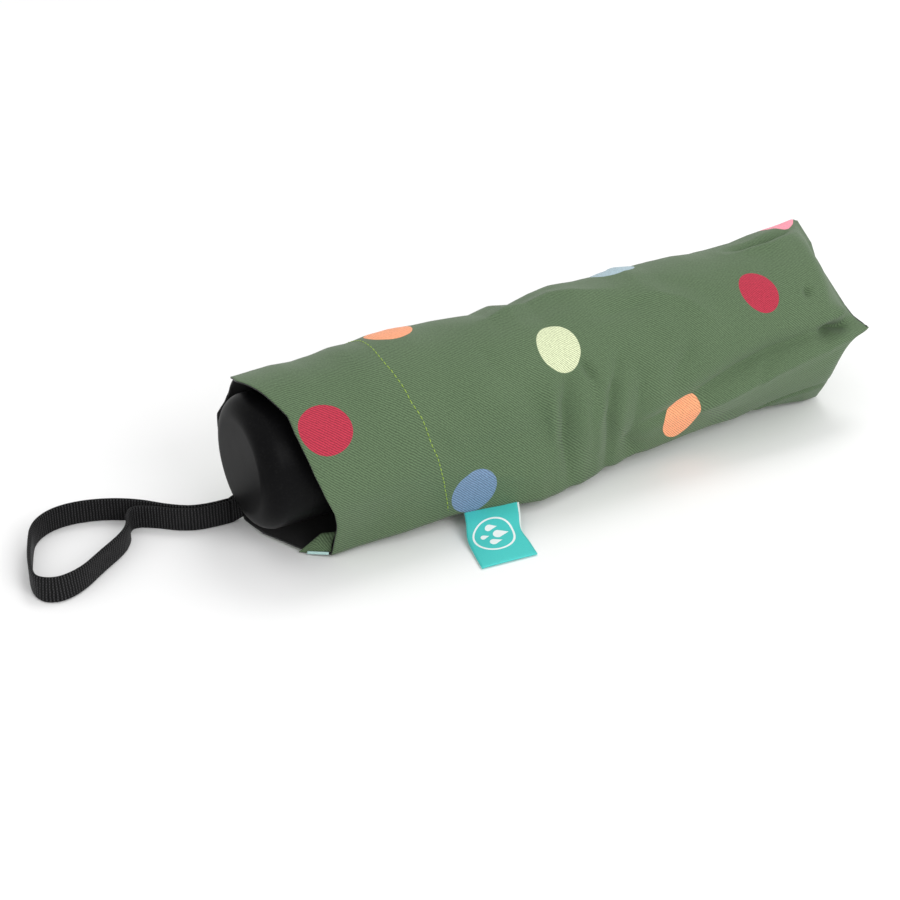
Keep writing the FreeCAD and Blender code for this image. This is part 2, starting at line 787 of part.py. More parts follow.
def endSeam(x, inset):
    """The thin outline of the closed end, from the front ear to the back ear, above and beside the axis."""
    tilt = math.radians(value("sizes.ear_tilt"))
    along = Vector(0, math.cos(tilt), math.sin(tilt)) * (value("sizes.ear_half") - inset)
    across = Vector(0, -math.sin(tilt), math.cos(tilt)) * (value("sizes.end_thickness") / 2 - inset)
    centre = Vector(x, -value("sizes.ear_side"), value("sizes.ear_height"))
    corners = [centre + along + across, centre - along + across, centre - along - across, centre + along - across]
    return Part.Wire(
        [
            Part.Arc(corners[0], centre + across * value("sizes.ear_crown"), corners[1]).toShape(),
            Part.LineSegment(corners[1], corners[2]).toShape(),
            Part.LineSegment(corners[2], corners[3]).toShape(),
            Part.LineSegment(corners[3], corners[0]).toShape(),
        ]
    )


def sleeveSolid(inset):
    """The sleeve's outer solid, or with an inset the space inside it."""
    mouth = value("sizes.cap_overhang")
    shoulder = value("sizes.overall_length - sizes.ear_taper")
    reach = value("sizes.seam_reach")
    wires = [
        sleeveSection(mouth + (shoulder - mouth) * share, reach * part, inset) for share, part in sleeveStations
    ]
    wires.append(endSeam(value("sizes.overall_length") - 2 * inset, inset))
    solid = Part.makeLoft(wires, True, True)
    if inset > 0:
        opening = Part.Face(wires[0]).extrude(Vector(-2 * mouth, 0, 0))
        solid = solid.fuse(opening)
    return solid


def aboveSurface(solid):
    reach = value("sizes.overall_length")
    height = value(axisHeight)
    ground = Part.makeBox(4 * reach, 4 * reach, reach, Vector(-reach, -2 * reach, -height - reach))
    return solid.cut(ground)


sleeve = aboveSurface(sleeveSolid(0)).cut(sleeveSolid(value("sizes.sleeve_wall")))
finish(shape("sleeve_cloth", sleeve), "sleeve")


def hemStitch():
    """A line of thread round the sleeve at the hem, lying on the cloth above the surface."""
    mouth = value("sizes.cap_overhang")
    place = value("sizes.hem_place")
    shoulder = value("sizes.overall_length - sizes.ear_taper")
    (firstShare, firstPart), (nextShare, nextPart) = sleeveStations[:2]

    def band(inset, start, end):
        wires = []
        for x in (start, end):
            share = (x - mouth) / (shoulder - mouth)
            part = firstPart + (nextPart - firstPart) * (share - firstShare) / (nextShare - firstShare)
            wires.append(sleeveSection(x, value("sizes.seam_reach") * part, inset))
        return Part.makeLoft(wires, True, True)

    thread = value("sizes.thread_width")
    gap = value("sizes.fit_gap")
    loop = band(-gap - thread / 2, place, place + thread).cut(band(-gap, place - thread, place + 2 * thread))
    return aboveSurface(loop)


finish(shape("stitch", hemStitch()), "hem_stitch")

labelTop = f"(-{axisHeight} + sizes.label_lift)"
labelLow = f"(-{axisHeight} + sizes.running_gap)"
labelRoot = f"(-{fullReach} * sizes.seam_reach - 2 * sizes.label_thickness)"
labelTip = f"(-{fullReach} * sizes.seam_reach - sizes.label_length)"
label = doc.addObject("PartDesign::Body", "label_cloth")
labelOutline = polygonSketch(
    label,
    "YZ_Plane",
    [
        (labelRoot, labelTop),
        (labelTip, labelLow),
        (labelTip, f"{labelLow} + sizes.label_thickness"),
        (labelRoot, f"{labelTop} + sizes.label_thickness"),
    ],
)
labelOutline.setExpression("AttachmentOffset.Base.z", "sizes.label_place")
labelPad = label.newObject("PartDesign::Pad", "width")
labelPad.Profile = labelOutline
labelPad.setExpression("Length", "sizes.label_width")
doc.recompute()
finish(label, "sleeve_label")


# Wrist strap: one loop of webbing on its edge. Both ends meet beside the cap and go in together as a double tail.
# The loop's route is seen from above: x along the shaft from the cap's face, and y to the far side of it.
strapRoute = [
    (2, 16.0),
    (-7, 16.2),
    (-15, 21),
    (-24, 31),
    (-36, 37.5),
    (-48, 39),
    (-57, 34),
    (-61.5, 24),
    (-65.5, 13),
    (-67, 4),
    (-61.5, -0.5),
    (-53, 1.5),
    (-43, 8),
    (-34, 12.5),
    (-30, 18),
    (-29.4, 23.6),
    (-26.2, 27),
    (-20.5, 23.6),
    (-14, 17.6),
    (-6.5, 14.5),
    (2, 14.4),
]


def cordPath(points):
    """Straight runs joined by tangent arcs, each as large as its two runs allow."""
    edges, radii = [], []
    start = points[0]
    for before, corner, after in zip(points, points[1:], points[2:]):
        into, out = (corner - before), (after - corner)
        turn = into.getAngle(out)
        radius = 0.45 * min(into.Length, out.Length) / math.tan(turn / 2)
        setback = 0.45 * min(into.Length, out.Length)
        into.normalize()
        out.normalize()
        arcStart, arcEnd = corner - into * setback, corner + out * setback
        inward = (out - into).normalize()
        middle = corner + inward * (radius / math.cos(turn / 2) - radius)
        edges.append(Part.LineSegment(start, arcStart))
        edges.append(Part.Arc(arcStart, middle, arcEnd))
        radii.append(radius)
        start = arcEnd
    edges.append(Part.LineSegment(start, points[-1]))
    return Part.Wire([edge.toShape() for edge in edges]), radii


def webbing(centre, wide, thick, plies=1):
    """A closed rectangle: the webbing's section at a point, from the directions of its width and thickness."""
    thickness = value("sizes.strap_thickness") * plies + value("sizes.ply_gap") * (plies - 1)
    across = wide * (value("sizes.strap_width") / 2)
    through = thick * (thickness / 2)
    corners = [centre + across + through, centre - across + through, centre - across - through, centre + across - through]
    return Part.makePolygon(corners + corners[:1])


strapMiddle = value(f"-{axisHeight} + sizes.strap_width / 2 + sizes.fit_gap")
route = [Vector(x, y, strapMiddle) for x, y in strapRoute]
strapPath, strapRadii = cordPath(route)
strapSection = webbing(route[0], Vector(0, 0, 1), Vector(0, 1, 0))
strapLoop = strapPath.makePipeShell([strapSection], True, False)
sectionArea = value("sizes.strap_width * sizes.strap_thickness")
print("strap loop length", round(strapPath.Length, 1), "radii", [round(radius, 1) for radius in strapRadii])
print("strap volume over section times length", round(strapLoop.Volume / (sectionArea * strapPath.Length), 4))
finish(shape("strap_loop", strapLoop), "wrist_strap")


def strapTail():
    """The doubled webbing: on edge beside the cap, then turning flat against it, and in at the slot to the pin."""
    roll = math.radians(value("sizes.strap_roll"))
    outward = Vector(0, -math.sin(roll), math.cos(roll))
    around = Vector(0, math.cos(roll), math.sin(roll)) * -1
    thickness = value(tailDepth)
    along = Vector(1, 0, 0)
    height = value(f"{capRadius} + sizes.tail_gap") + thickness / 2
    slotPlace = value("sizes.slot_place")
    run = value("sizes.tail_flat")
    flat = Vector(slotPlace - run, 0, 0) + outward * height
    joinPlace = strapRoute[0][0] + value("sizes.fit_gap")
    mouth = Vector(joinPlace, (strapRoute[0][1] + strapRoute[-1][1]) / 2, strapMiddle)
    turnAngle = math.degrees(around.getAngle(Vector(0, 0, 1)))
    sections = []
    steps = 4
    for n in range(steps + 1):
        share = n / steps
        twist = Rotation(along, turnAngle * (1 - share))
        sections.append(webbing(mouth + (flat - mouth) * share, twist.multVec(around), twist.multVec(outward), 2))
    sections.append(webbing(flat + along * run, around, outward, 2))
    twisted = Part.makeLoft(sections, True, True)
    low = value("sizes.anchor_reach + sizes.anchor_radius + sizes.fit_gap")
    foot = webbing(Vector(slotPlace, 0, 0) + outward * low, around, along, 2)
    inward = Part.Face(foot).extrude(outward * (height + thickness / 2 - low))
    return twisted.fuse(inward).removeSplitter()


finish(shape("tail", strapTail()), "strap_tail")


doc.recompute()
for thing in doc.Objects:
    if "Invalid" in thing.State or "Error" in thing.State:
        raise RuntimeError(f"{thing.Label} failed: {thing.State}")
for part in parts:
    if part.Shape.isNull() or not part.Shape.isValid() or not part.Shape.Solids:
        raise RuntimeError(f"{part.Label} has no sound solid")

os.makedirs("parts", exist_ok=True)
for part in parts:
    part.Shape.exportStep(os.path.join("parts", f"{part.Label}.step"))
print(len(parts), "sub-parts")
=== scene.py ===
import math

import bmesh
import bpy
import numpy as np
from mathutils import Matrix, Vector, noise


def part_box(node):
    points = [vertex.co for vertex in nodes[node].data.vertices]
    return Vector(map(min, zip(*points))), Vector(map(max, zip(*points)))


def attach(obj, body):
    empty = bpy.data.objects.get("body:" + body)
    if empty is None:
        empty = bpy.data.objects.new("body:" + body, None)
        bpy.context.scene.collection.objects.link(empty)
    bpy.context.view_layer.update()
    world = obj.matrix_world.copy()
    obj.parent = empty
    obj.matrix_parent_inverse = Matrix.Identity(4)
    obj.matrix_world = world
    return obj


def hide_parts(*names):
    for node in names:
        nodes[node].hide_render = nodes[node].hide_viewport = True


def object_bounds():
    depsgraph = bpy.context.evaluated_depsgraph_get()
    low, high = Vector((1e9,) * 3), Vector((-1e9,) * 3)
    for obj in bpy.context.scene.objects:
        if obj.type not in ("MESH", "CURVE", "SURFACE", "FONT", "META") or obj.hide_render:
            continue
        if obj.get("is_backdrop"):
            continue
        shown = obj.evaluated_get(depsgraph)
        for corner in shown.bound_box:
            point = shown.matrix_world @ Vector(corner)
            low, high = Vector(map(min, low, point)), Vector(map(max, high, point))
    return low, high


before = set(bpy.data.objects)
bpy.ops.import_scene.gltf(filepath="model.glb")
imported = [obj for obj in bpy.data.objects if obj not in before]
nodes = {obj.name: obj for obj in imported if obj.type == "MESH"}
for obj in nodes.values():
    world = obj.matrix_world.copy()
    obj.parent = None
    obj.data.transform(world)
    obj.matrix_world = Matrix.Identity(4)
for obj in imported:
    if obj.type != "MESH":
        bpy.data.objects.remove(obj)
cadBox = [list(corner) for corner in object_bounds()]
print("frame loaded:", len(nodes), "nodes")

mm = 0.001
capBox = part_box("end_cap")
handleEnd = capBox[0].x  # the cap's end face
shaftHeight = (capBox[0].z + capBox[1].z) / 2  # the shaft's line above the surface
capRadius = (capBox[1].z - capBox[0].z) / 2 / mm
forward = np.array([1.0, 0, 0])
scene = bpy.context.scene
scene.view_settings.view_transform = "Standard"


def addObject(name, data):
    thing = bpy.data.objects.new(name, data)
    scene.collection.objects.link(thing)
    return thing


# Camera and light
cameraView = {
    "place": (-0.35022, -0.59561, 0.41602), "aim": (0.399888, 0.759074, -0.513708),
    "right": (0.879983, -0.474721, -0.016457), "lens": 98.05,
}

camera = addObject("camera", bpy.data.cameras.new("camera"))
camera.data.lens = cameraView["lens"]
camera.data.sensor_width = 36
camera.data.clip_start = 0.05
camera.data.clip_end = 20
aim = Vector(cameraView["aim"]).normalized()
right = Vector(cameraView["right"]).normalized()
turn = Matrix((right, right.cross(aim).normalized(), -aim)).transposed().to_4x4()
camera.matrix_world = Matrix.Translation(cameraView["place"]) @ turn
scene.camera = camera

studio = {
    "floorSize": 3.0, "floorColour": (0.96, 0.96, 0.96, 1), "roomLight": 0.84,
    # name, place, size and power of each lamp
    "lamps": [("keyLight", (0.3, 0.28, 0.95), 0.4, 1.8), ("fillLight", (0.12, -0.9, 0.62), 0.6, 4.4)],
}

world = bpy.data.worlds.new("studio")
world.use_nodes = True
world.node_tree.nodes["Background"].inputs["Color"].default_value = (1, 1, 1, 1)
world.node_tree.nodes["Background"].inputs["Strength"].default_value = studio["roomLight"]
scene.world = world

for name, place, size, power in studio["lamps"]:
    lamp = bpy.data.lights.new(name, "AREA")
    lamp.shape = "DISK"
    lamp.size = size
    lamp.energy = power
    holder = addObject(name, lamp)
    holder.location = place
    holder.rotation_euler = (Vector((0, 0, shaftHeight)) - Vector(place)).to_track_quat("-Z", "Y").to_euler()


# Node helpers
def feed(tree, socket, value):
    # Links another node's output to a socket, or gives it a plain value.
    if isinstance(value, bpy.types.NodeSocket):
        tree.links.new(value, socket)
    else:
        socket.default_value = value


def newGroup(name, inputs, outputs, treeKind="ShaderNodeTree"):
    group = bpy.data.node_groups.new(name, treeKind)
    for label, kind, *value in inputs:
        socket = group.interface.new_socket(label, in_out="INPUT", socket_type="NodeSocket" + kind)
        if value:
            socket.default_value = value[0]
    for label, kind in outputs:
        group.interface.new_socket(label, in_out="OUTPUT", socket_type="NodeSocket" + kind)
    return group, group.nodes.new("NodeGroupInput").outputs, group.nodes.new("NodeGroupOutput").inputs


def addNode(tree, kind, values=(), **settings):
    node = tree.nodes.new(kind)
    for field, value in settings.items():
        setattr(node, field, value)
    for socket, value in dict(values).items():
        feed(tree, node.inputs[socket], value)
    return node.outputs


def maths(tree):
    # A short way to write sums in one node tree.
    def calc(operation, *values, clamp=False):
        return addNode(tree, "ShaderNodeMath", enumerate(values), operation=operation, use_clamp=clamp)[0]

    return calc


def vectorMath(tree, operation, values):
    return addNode(tree, "ShaderNodeVectorMath", values, operation=operation)


def noiseNode(tree, vector, **values):
    return addNode(tree, "ShaderNodeTexNoise", {"Vector": vector, **values})["Fac"]


def splitVector(tree, vector):
    return addNode(tree, "ShaderNodeSeparateXYZ", {0: vector})[:2]


def blendColours(tree, share, first, second, mode="MIX"):
    return addNode(tree, "ShaderNodeMix", {0: share, 6: first, 7: second}, data_type="RGBA", blend_type=mode)[2]


# Shader groups
def makeTwill():
    # Slanting ribs of a twill over its single threads, on a map in metres.
    group, entry, leave = newGroup(
        "twill",
        [
            ("Map", "Vector"), ("Rib Spacing", "Float", 0.0008), ("Thread Spacing", "Float", 0.0004),
            ("Unevenness", "Float", 0.35),
        ],
        [("Height", "Float"), ("Shade", "Float")],
    )
    calc = maths(group)
    x, y = splitVector(group, entry["Map"])
    wander = noiseNode(group, entry["Map"], Scale=420.0, Detail=2.0)
    drift = calc("MULTIPLY", calc("SUBTRACT", wander, 0.5), 0.0007)
    slant = calc("ADD", calc("ADD", x, y), drift)
    ribs = calc("MULTIPLY", calc("DIVIDE", slant, entry["Rib Spacing"]), 2 * math.pi)
    rib = calc("MULTIPLY_ADD", calc("SINE", ribs), 0.5, 0.5)
    waves = []
    for way in (x, y):
        waves.append(calc("SINE", calc("MULTIPLY", calc("DIVIDE", way, entry["Thread Spacing"]), 2 * math.pi)))
    thread = calc("MULTIPLY_ADD", calc("MULTIPLY", *waves), 0.5, 0.5)
    height = calc("MULTIPLY_ADD", thread, 0.35, calc("MULTIPLY", rib, 0.65))
    patches = noiseNode(group, entry["Map"], Scale=1500.0, Detail=1.0)
    feed(group, leave["Height"], height)
    feed(group, leave["Shade"], calc("ADD", height, calc("MULTIPLY", patches, entry["Unevenness"])))
    return group


def makeDotSpot():
    # One printed dot: 1 inside it, 0 outside, with a slightly soft rim. Turn and spread pull it with the cloth.
    group, entry, leave = newGroup(
        "dotSpot",
        [("Map", "Vector"), ("Place", "Vector"), ("Spread", "Vector", (0.008, 0.008, 1)), ("Turn", "Float", 0.0)],
        [("Mask", "Float")],
    )
    calc = maths(group)
    offset = vectorMath(group, "SUBTRACT", {0: entry["Map"], 1: entry["Place"]})[0]
    back = calc("MULTIPLY", entry["Turn"], -1.0)
    turned = addNode(group, "ShaderNodeVectorRotate", {"Vector": offset, "Angle": back}, rotation_type="Z_AXIS")[0]
    scaled = vectorMath(group, "DIVIDE", {0: turned, 1: entry["Spread"]})[0]
    reach = vectorMath(group, "LENGTH", {0: scaled})["Value"]
    feed(group, leave["Mask"], calc("MULTIPLY_ADD", calc("SUBTRACT", 1.0, reach), 48.0, 0.5, clamp=True))
    return group


def makeGrain():
    # Fine moulded grain, with a broad cloudiness and a few light scuffs.
    group, entry, leave = newGroup(
        "grain",
        [
            ("Map", "Vector"), ("Grain Scale", "Float", 3500.0), ("Cloud Scale", "Float", 60.0),
            ("Scuff Amount", "Float", 0.4),
        ],
        [("Height", "Float"), ("Cloud", "Float"), ("Scuffs", "Float")],
    )
    calc = maths(group)
    scratchScale = calc("MULTIPLY", entry["Cloud Scale"], 7.0)
    scratch = noiseNode(group, entry["Map"], Scale=scratchScale, Detail=4.0, Distortion=1.2)
    band = calc("ABSOLUTE", calc("SUBTRACT", scratch, 0.52))
    thin = calc("MULTIPLY_ADD", band, -60.0, 1.0, clamp=True)
    feed(group, leave["Height"], noiseNode(group, entry["Map"], Scale=entry["Grain Scale"], Detail=3.0))
    feed(group, leave["Cloud"], noiseNode(group, entry["Map"], Scale=entry["Cloud Scale"], Detail=2.0))
    feed(group, leave["Scuffs"], calc("MULTIPLY", thin, entry["Scuff Amount"]))
    return group


def makeRaindrop():
    # A raindrop outline: a round belly and a point above it.
    group, entry, leave = newGroup(
        "raindrop", [("Map", "Vector"), ("Place", "Vector"), ("Size", "Float", 0.002)], [("Mask", "Float")]
    )
    calc = maths(group)
    x, y = splitVector(group, vectorMath(group, "SUBTRACT", {0: entry["Map"], 1: entry["Place"]})[0])
    width = calc("DIVIDE", calc("ABSOLUTE", x), entry["Size"])
    rise = calc("DIVIDE", y, entry["Size"])
    belly = calc("SQRT", calc("ADD", calc("MULTIPLY", width, width), calc("MULTIPLY", rise, rise)))
    side = calc("ADD", calc("MULTIPLY", width, 0.91), calc("MULTIPLY", rise, 0.42))
    inPoint = calc("MULTIPLY", calc("LESS_THAN", side, 1.0), calc("GREATER_THAN", rise, 0.42))
    feed(group, leave["Mask"], calc("MAXIMUM", calc("LESS_THAN", belly, 1.0), inPoint))
    return group


twill, dotSpot, grain, raindrop = makeTwill(), makeDotSpot(), makeGrain(), makeRaindrop()


# Materials
def srgb(*levels):
    shares = [level / 255 for level in levels]
    return (*(share / 12.92 if share <= 0.04045 else ((share + 0.055) / 1.055) ** 2.4 for share in shares), 1.0)


def newMaterial(name, settings):
    material = bpy.data.materials.new(name)
    material.use_nodes = True
    tree = material.node_tree
    shader = tree.nodes["Principled BSDF"].inputs
    for socket, value in settings.items():
        shader[socket].default_value = value
    return material, tree, shader, maths(tree)


def placeGroup(tree, group, vector, **values):
    named = {socket.replace("_", " "): value for socket, value in values.items()}
    return addNode(tree, "ShaderNodeGroup", {"Map": vector, **named}, node_tree=group)


def dress(tree, shader, colour, roughness, height, strength, distance):
    # Joins a colour, a roughness and a bump to the material's shader.
    bump = addNode(tree, "ShaderNodeBump", {"Strength": strength, "Distance": distance, "Height": height})
    feed(tree, shader["Base Color"], colour)
    feed(tree, shader["Roughness"], roughness)
    feed(tree, shader["Normal"], bump["Normal"])


def objectPlace(tree):
    return addNode(tree, "ShaderNodeTexCoord")["Object"]


def clothPlace(tree):
    return addNode(tree, "ShaderNodeUVMap", uv_map="clothMap")["UV"]


def plastic(name, dark, light, roughness, bump, scuffs=0.4, shine=0.5):
    material, tree, shader, calc = newMaterial(name, {"Specular IOR Level": shine})
    marks = placeGroup(tree, grain, objectPlace(tree), Scuff_Amount=scuffs)
    colour = blendColours(tree, marks["Cloud"], dark, light)
    colour = blendColours(tree, calc("MULTIPLY", marks["Scuffs"], 0.25), colour, (0.12, 0.12, 0.12, 1))
    dull = calc("MULTIPLY_ADD", marks["Cloud"], 0.14, roughness - 0.07)
    dull = calc("ADD", dull, calc("MULTIPLY", marks["Scuffs"], 0.1))
    dress(tree, shader, colour, dull, marks["Height"], bump, 0.00006)
    return material


def steel(name, dark, light, roughness, stretch):
    # Drawn steel: fine streaks along X, with a little staining.
    material, tree, shader, calc = newMaterial(name, {"Metallic": 1.0})
    place = objectPlace(tree)
    drawn = addNode(tree, "ShaderNodeMapping", {"Vector": place, "Scale": (1.0, stretch, stretch)})["Vector"]
    streaks = noiseNode(tree, drawn, Scale=160.0, Detail=5.0)
    marks = placeGroup(tree, grain, place, Scuff_Amount=0.3)
    colour = blendColours(tree, streaks, dark, light)
    colour = blendColours(tree, calc("MULTIPLY", marks["Cloud"], 0.3), colour, (0.25, 0.23, 0.2, 1))
    dress(tree, shader, colour, calc("MULTIPLY_ADD", streaks, 0.16, roughness), streaks, 0.25, 0.00003)
    return material


dotInks = {
    "red": srgb(174, 42, 66),
    "orange": srgb(243, 160, 117),
    "lime": srgb(204, 212, 174),
    "blue": srgb(110, 135, 166),
    "sky": srgb(166, 188, 198),
    "pink": srgb(247, 150, 168),
}
dotRadius = 8.0


def dottedCloth(name, dots, base, deep):
    # Twill with a scatter of printed dots, on the piece's own map in metres.
    material, tree, shader, calc = newMaterial(
        name, {"Specular IOR Level": 0.25, "Sheen Weight": 0.12, "Sheen Roughness": 0.5}
    )
    ownMap = clothPlace(tree)
    weave = placeGroup(tree, twill, ownMap, Rib_Spacing=0.00092, Unevenness=0.6)
    fade = noiseNode(tree, ownMap, Scale=38.0, Detail=3.0)
    colour = blendColours(tree, calc("MULTIPLY_ADD", fade, 0.5, 0.1), base, deep)
    for ink, (x, y), *pull in dots:
        long, short, turn = pull or (dotRadius, dotRadius, 0.0)
        spread = (long * mm, short * mm, 1)
        spot = placeGroup(tree, dotSpot, ownMap, Place=(x * mm, y * mm, 0), Spread=spread, Turn=math.radians(turn))
        colour = blendColours(tree, calc("MULTIPLY", spot["Mask"], 0.97), colour, dotInks[ink])
    shade = calc("MULTIPLY_ADD", weave["Shade"], 1.05, 0.18)
    shading = addNode(tree, "ShaderNodeCombineColor", {channel: shade for channel in range(3)})[0]
    colour = blendColours(tree, 1.0, colour, shading, "MULTIPLY")
    dress(tree, shader, colour, calc("MULTIPLY_ADD", fade, 0.15, 0.7), weave["Height"], 0.55, 0.00012)
    return material


def plainCloth(name, base, deep, roughness, spacing):
    material, tree, shader, calc = newMaterial(name, {"Specular IOR Level": 0.3, "Sheen Weight": 0.1})
    weave = placeGroup(tree, twill, objectPlace(tree), Rib_Spacing=spacing, Thread_Spacing=spacing / 2)
    colour = blendColours(tree, weave["Shade"], deep, base)
    dress(tree, shader, colour, calc("MULTIPLY_ADD", weave["Shade"], -0.1, roughness), weave["Height"], 0.4, 0.00008)
    return material


def webbingMaterial():
    # Ribbed webbing: a rib every weft thread and warp cords along it.
    material, tree, shader, calc = newMaterial(
        "strapWebbing", {"Specular IOR Level": 0.08, "Sheen Weight": 0.02, "Sheen Roughness": 0.4}
    )
    ownMap = clothPlace(tree)
    x, y = splitVector(tree, ownMap)
    wander = noiseNode(tree, ownMap, Scale=700.0, Detail=2.0)
    drift = calc("MULTIPLY", calc("SUBTRACT", wander, 0.5), 0.0005)
    ribs = calc("SINE", calc("MULTIPLY", calc("ADD", x, drift), 2 * math.pi / 0.00098))
    cords = calc("SINE", calc("MULTIPLY", y, 2 * math.pi / 0.00085))
    woven = calc("MULTIPLY_ADD", calc("MULTIPLY", ribs, cords), 0.22, calc("MULTIPLY_ADD", ribs, 0.3, 0.5))
    lit = calc("POWER", woven, 2.2)
    colour = blendColours(tree, lit, (0.0004, 0.0004, 0.0005, 1), (0.055, 0.055, 0.057, 1))
    dress(tree, shader, colour, calc("MULTIPLY_ADD", wander, 0.2, 0.45), woven, 0.9, 0.00025)
    return material


capPlastic = plastic("capPlastic", srgb(10, 10, 11), srgb(15, 15, 16), 0.42, 0.05, 0.15, shine=0.05)
nylonBlack = plastic("nylonBlack", srgb(20, 20, 20), srgb(34, 34, 34), 0.5, 0.3, 0.6)
tipPlastic = plastic("tipPlastic", srgb(18, 18, 18), srgb(28, 28, 28), 0.3, 0.15)
tubeSteel = steel("tubeSteel", (0.42, 0.42, 0.43, 1), (0.62, 0.62, 0.63, 1), 0.18, 14.0)
wireSteel = steel("wireSteel", (0.5, 0.5, 0.5, 1), (0.7, 0.7, 0.7, 1), 0.2, 3.0)
ribSteel = steel("ribSteel", (0.36, 0.36, 0.38, 1), (0.55, 0.55, 0.57, 1), 0.28, 10.0)
snapMetal = steel("snapMetal", (0.55, 0.55, 0.56, 1), (0.78, 0.78, 0.79, 1), 0.14, 1.0)
# Near-black cloth for the inner face of the sleeve and of the hem corner.
innerBlack = plainCloth("sleeveInnerBlack", srgb(26, 26, 27), srgb(12, 12, 13), 0.6, 0.0006)
threadYarn = plainCloth("hemThread", srgb(160, 190, 80), srgb(110, 140, 45), 0.7, 0.0004)
webbing = webbingMaterial()
print("materials made")


# The CAD's own hard parts keep their shape and get these finishes; the ribs are ribSteel and the rest tubeSteel.
nodeFinish = {"tie_snap": snapMetal}
nodeFinish |= dict.fromkeys(("end_cap", "grip"), capPlastic)
nodeFinish |= dict.fromkeys(("crown", "runner", "ferrule", "runner_button"), nylonBlack)
nodeFinish |= dict.fromkeys(("crown_wire", "runner_wire", "rib_rivets"), wireSteel)
for nodeName, node in nodes.items():
    finish = nodeFinish.get(nodeName)
    if nodeName.startswith("rib_tip"):
        finish = tipPlastic
    elif finish is None:
        finish = ribSteel if "rib_" in nodeName or nodeName.startswith(("stretcher", "pull_rod")) else tubeSteel
    node.data.materials.clear()
    node.data.materials.append(finish)
print("hard parts finished")


# Mesh helpers. Lengths on the pieces are in millimetres from the handle's end, and rowPlace turns them into the frame.
def rowPlace(points):
    placed = np.asarray(points, float) * mm
    placed[..., 0] += handleEnd
    placed[..., 2] += shaftHeight
    return placed


def unit(vectors):
    return vectors / np.linalg.norm(vectors, axis=-1, keepdims=True)


def reachAlong(points):
    # How far along a line each of its points is.
    return np.r_[0, np.cumsum(np.linalg.norm(np.diff(points, axis=0), axis=1))]


def pointsAt(places, reach, line):
    return np.stack([np.interp(places, reach, line[:, k]) for k in range(3)], -1)


def together(*parts):
    return np.stack(np.broadcast_arrays(*parts), -1)


def roundShaft(x, radius, angle):
    return together(x, radius * np.cos(angle), radius * np.sin(angle))


def gridPiece(name, points, uv, materials, closed=False):
    # A sheet of quads over a grid of points; closed joins its last column to its first.
    rows, columns = points.shape[:2]
    faces, corners = [], []
    for i in range(rows - 1):
        for j in range(columns if closed else columns - 1):
            k = (j + 1) % columns
            faces.append((i * columns + j, (i + 1) * columns + j, (i + 1) * columns + k, i * columns + k))
            corners.extend((uv[i, j], uv[i + 1, j], uv[i + 1, j + 1], uv[i, j + 1]))
    mesh = bpy.data.meshes.new(name)
    mesh.from_pydata(points.reshape(-1, 3).tolist(), [], faces)
    mesh.uv_layers.new(name="clothMap").data.foreach_set("uv", np.asarray(corners, float).ravel())
    for material in materials:
        mesh.materials.append(material)
    mesh.shade_smooth()
    mesh.update()
    return addObject(name, mesh)


def cleanPiece(piece, gap):
    # Merges doubled points and points the faces outwards.
    work = bmesh.new()
    work.from_mesh(piece.data)
    bmesh.ops.remove_doubles(work, verts=work.verts, dist=gap)
    bmesh.ops.dissolve_degenerate(work, edges=work.edges, dist=0.000001)
    bmesh.ops.recalc_face_normals(work, faces=work.faces)
    work.to_mesh(piece.data)
    work.free()
    return piece


def wall(piece, thickness, inner=0, rim=0):
    # Gives a sheet its thickness, inwards from the faces' outer side.
    solid = piece.modifiers.new("wall", "SOLIDIFY")
    solid.thickness = thickness * mm
    solid.offset = -1
    solid.material_offset = inner
    solid.material_offset_rim = rim


def ribbon(name, centres, wides, throughs, width, thickness, material, start=0.0):
    # A flat band with rolled sides along a line in the frame. Width and thickness in millimetres.
    corner = thickness * mm / 2
    half = width * mm / 2 - corner
    around = [(half * share, corner) for share in (1, 0.5, 0, -0.5, -1)]
    around += [(-half - corner * 0.8, corner * 0.6), (-half - corner, 0), (-half - corner * 0.8, -corner * 0.6)]
    around += [(-a, -b) for a, b in around]
    section = np.array(around)
    centres, wides, throughs = (np.asarray(v, float) for v in (centres, wides, throughs))
    points = centres[:, None] + section[None, :, :1] * wides[:, None] + section[None, :, 1:] * throughs[:, None]
    sideways = np.r_[section[:, 0], section[0, 0]]
    uv = together((reachAlong(centres) + start)[:, None], sideways[None])
    ends = [centres[:1, None] + 0 * points[:1], centres[-1:, None] + 0 * points[-1:]]
    points = np.concatenate([ends[0], points, ends[1]])
    uv = np.concatenate([uv[:1], uv, uv[-1:]])
    return cleanPiece(gridPiece(name, points, uv, [material], closed=True), 0.000005)


def plainMesh(thing, name):
    # Takes the finished mesh of a curve or a modified object, and removes the object.
    bpy.context.view_layer.update()
    mesh = bpy.data.meshes.new_from_object(thing.evaluated_get(bpy.context.evaluated_depsgraph_get()))
    bpy.data.objects.remove(thing)
    mesh.name = name
    return mesh


# Wrist strap: a loop of webbing standing on its edge, and the doubled tail that goes into the handle.
strap = {
    "width": 8.0, "thickness": 1.2, "floorGap": 0.05, "length": 0.183,
    "lean": 30.0,  # degrees that the band leans outwards at the loop's far side
    "leanPlace": 0.5,  # where it leans the most, as a share of the loop
    "leanSpread": 0.1,
    "route": [
        (2, 16.0), (-7, 16.2), (-15, 21), (-24, 31), (-36, 37.5), (-48, 39), (-57, 34), (-61.5, 24), (-65.5, 13),
        (-67, 4), (-61.5, -0.5), (-53, 1.5), (-43.6, 8.4), (-35, 14), (-30.6, 19.2), (-29.4, 24), (-26.2, 27),
        (-20.5, 23.6), (-14, 17.6), (-6.5, 14.5), (2, 14.4),
    ],
}
strapMiddle = strap["width"] / 2 + strap["floorGap"]
routeCurve = bpy.data.curves.new("strapRoute", "CURVE")
routeCurve.dimensions = "3D"
routeCurve.resolution_u = 14
line = routeCurve.splines.new("NURBS")
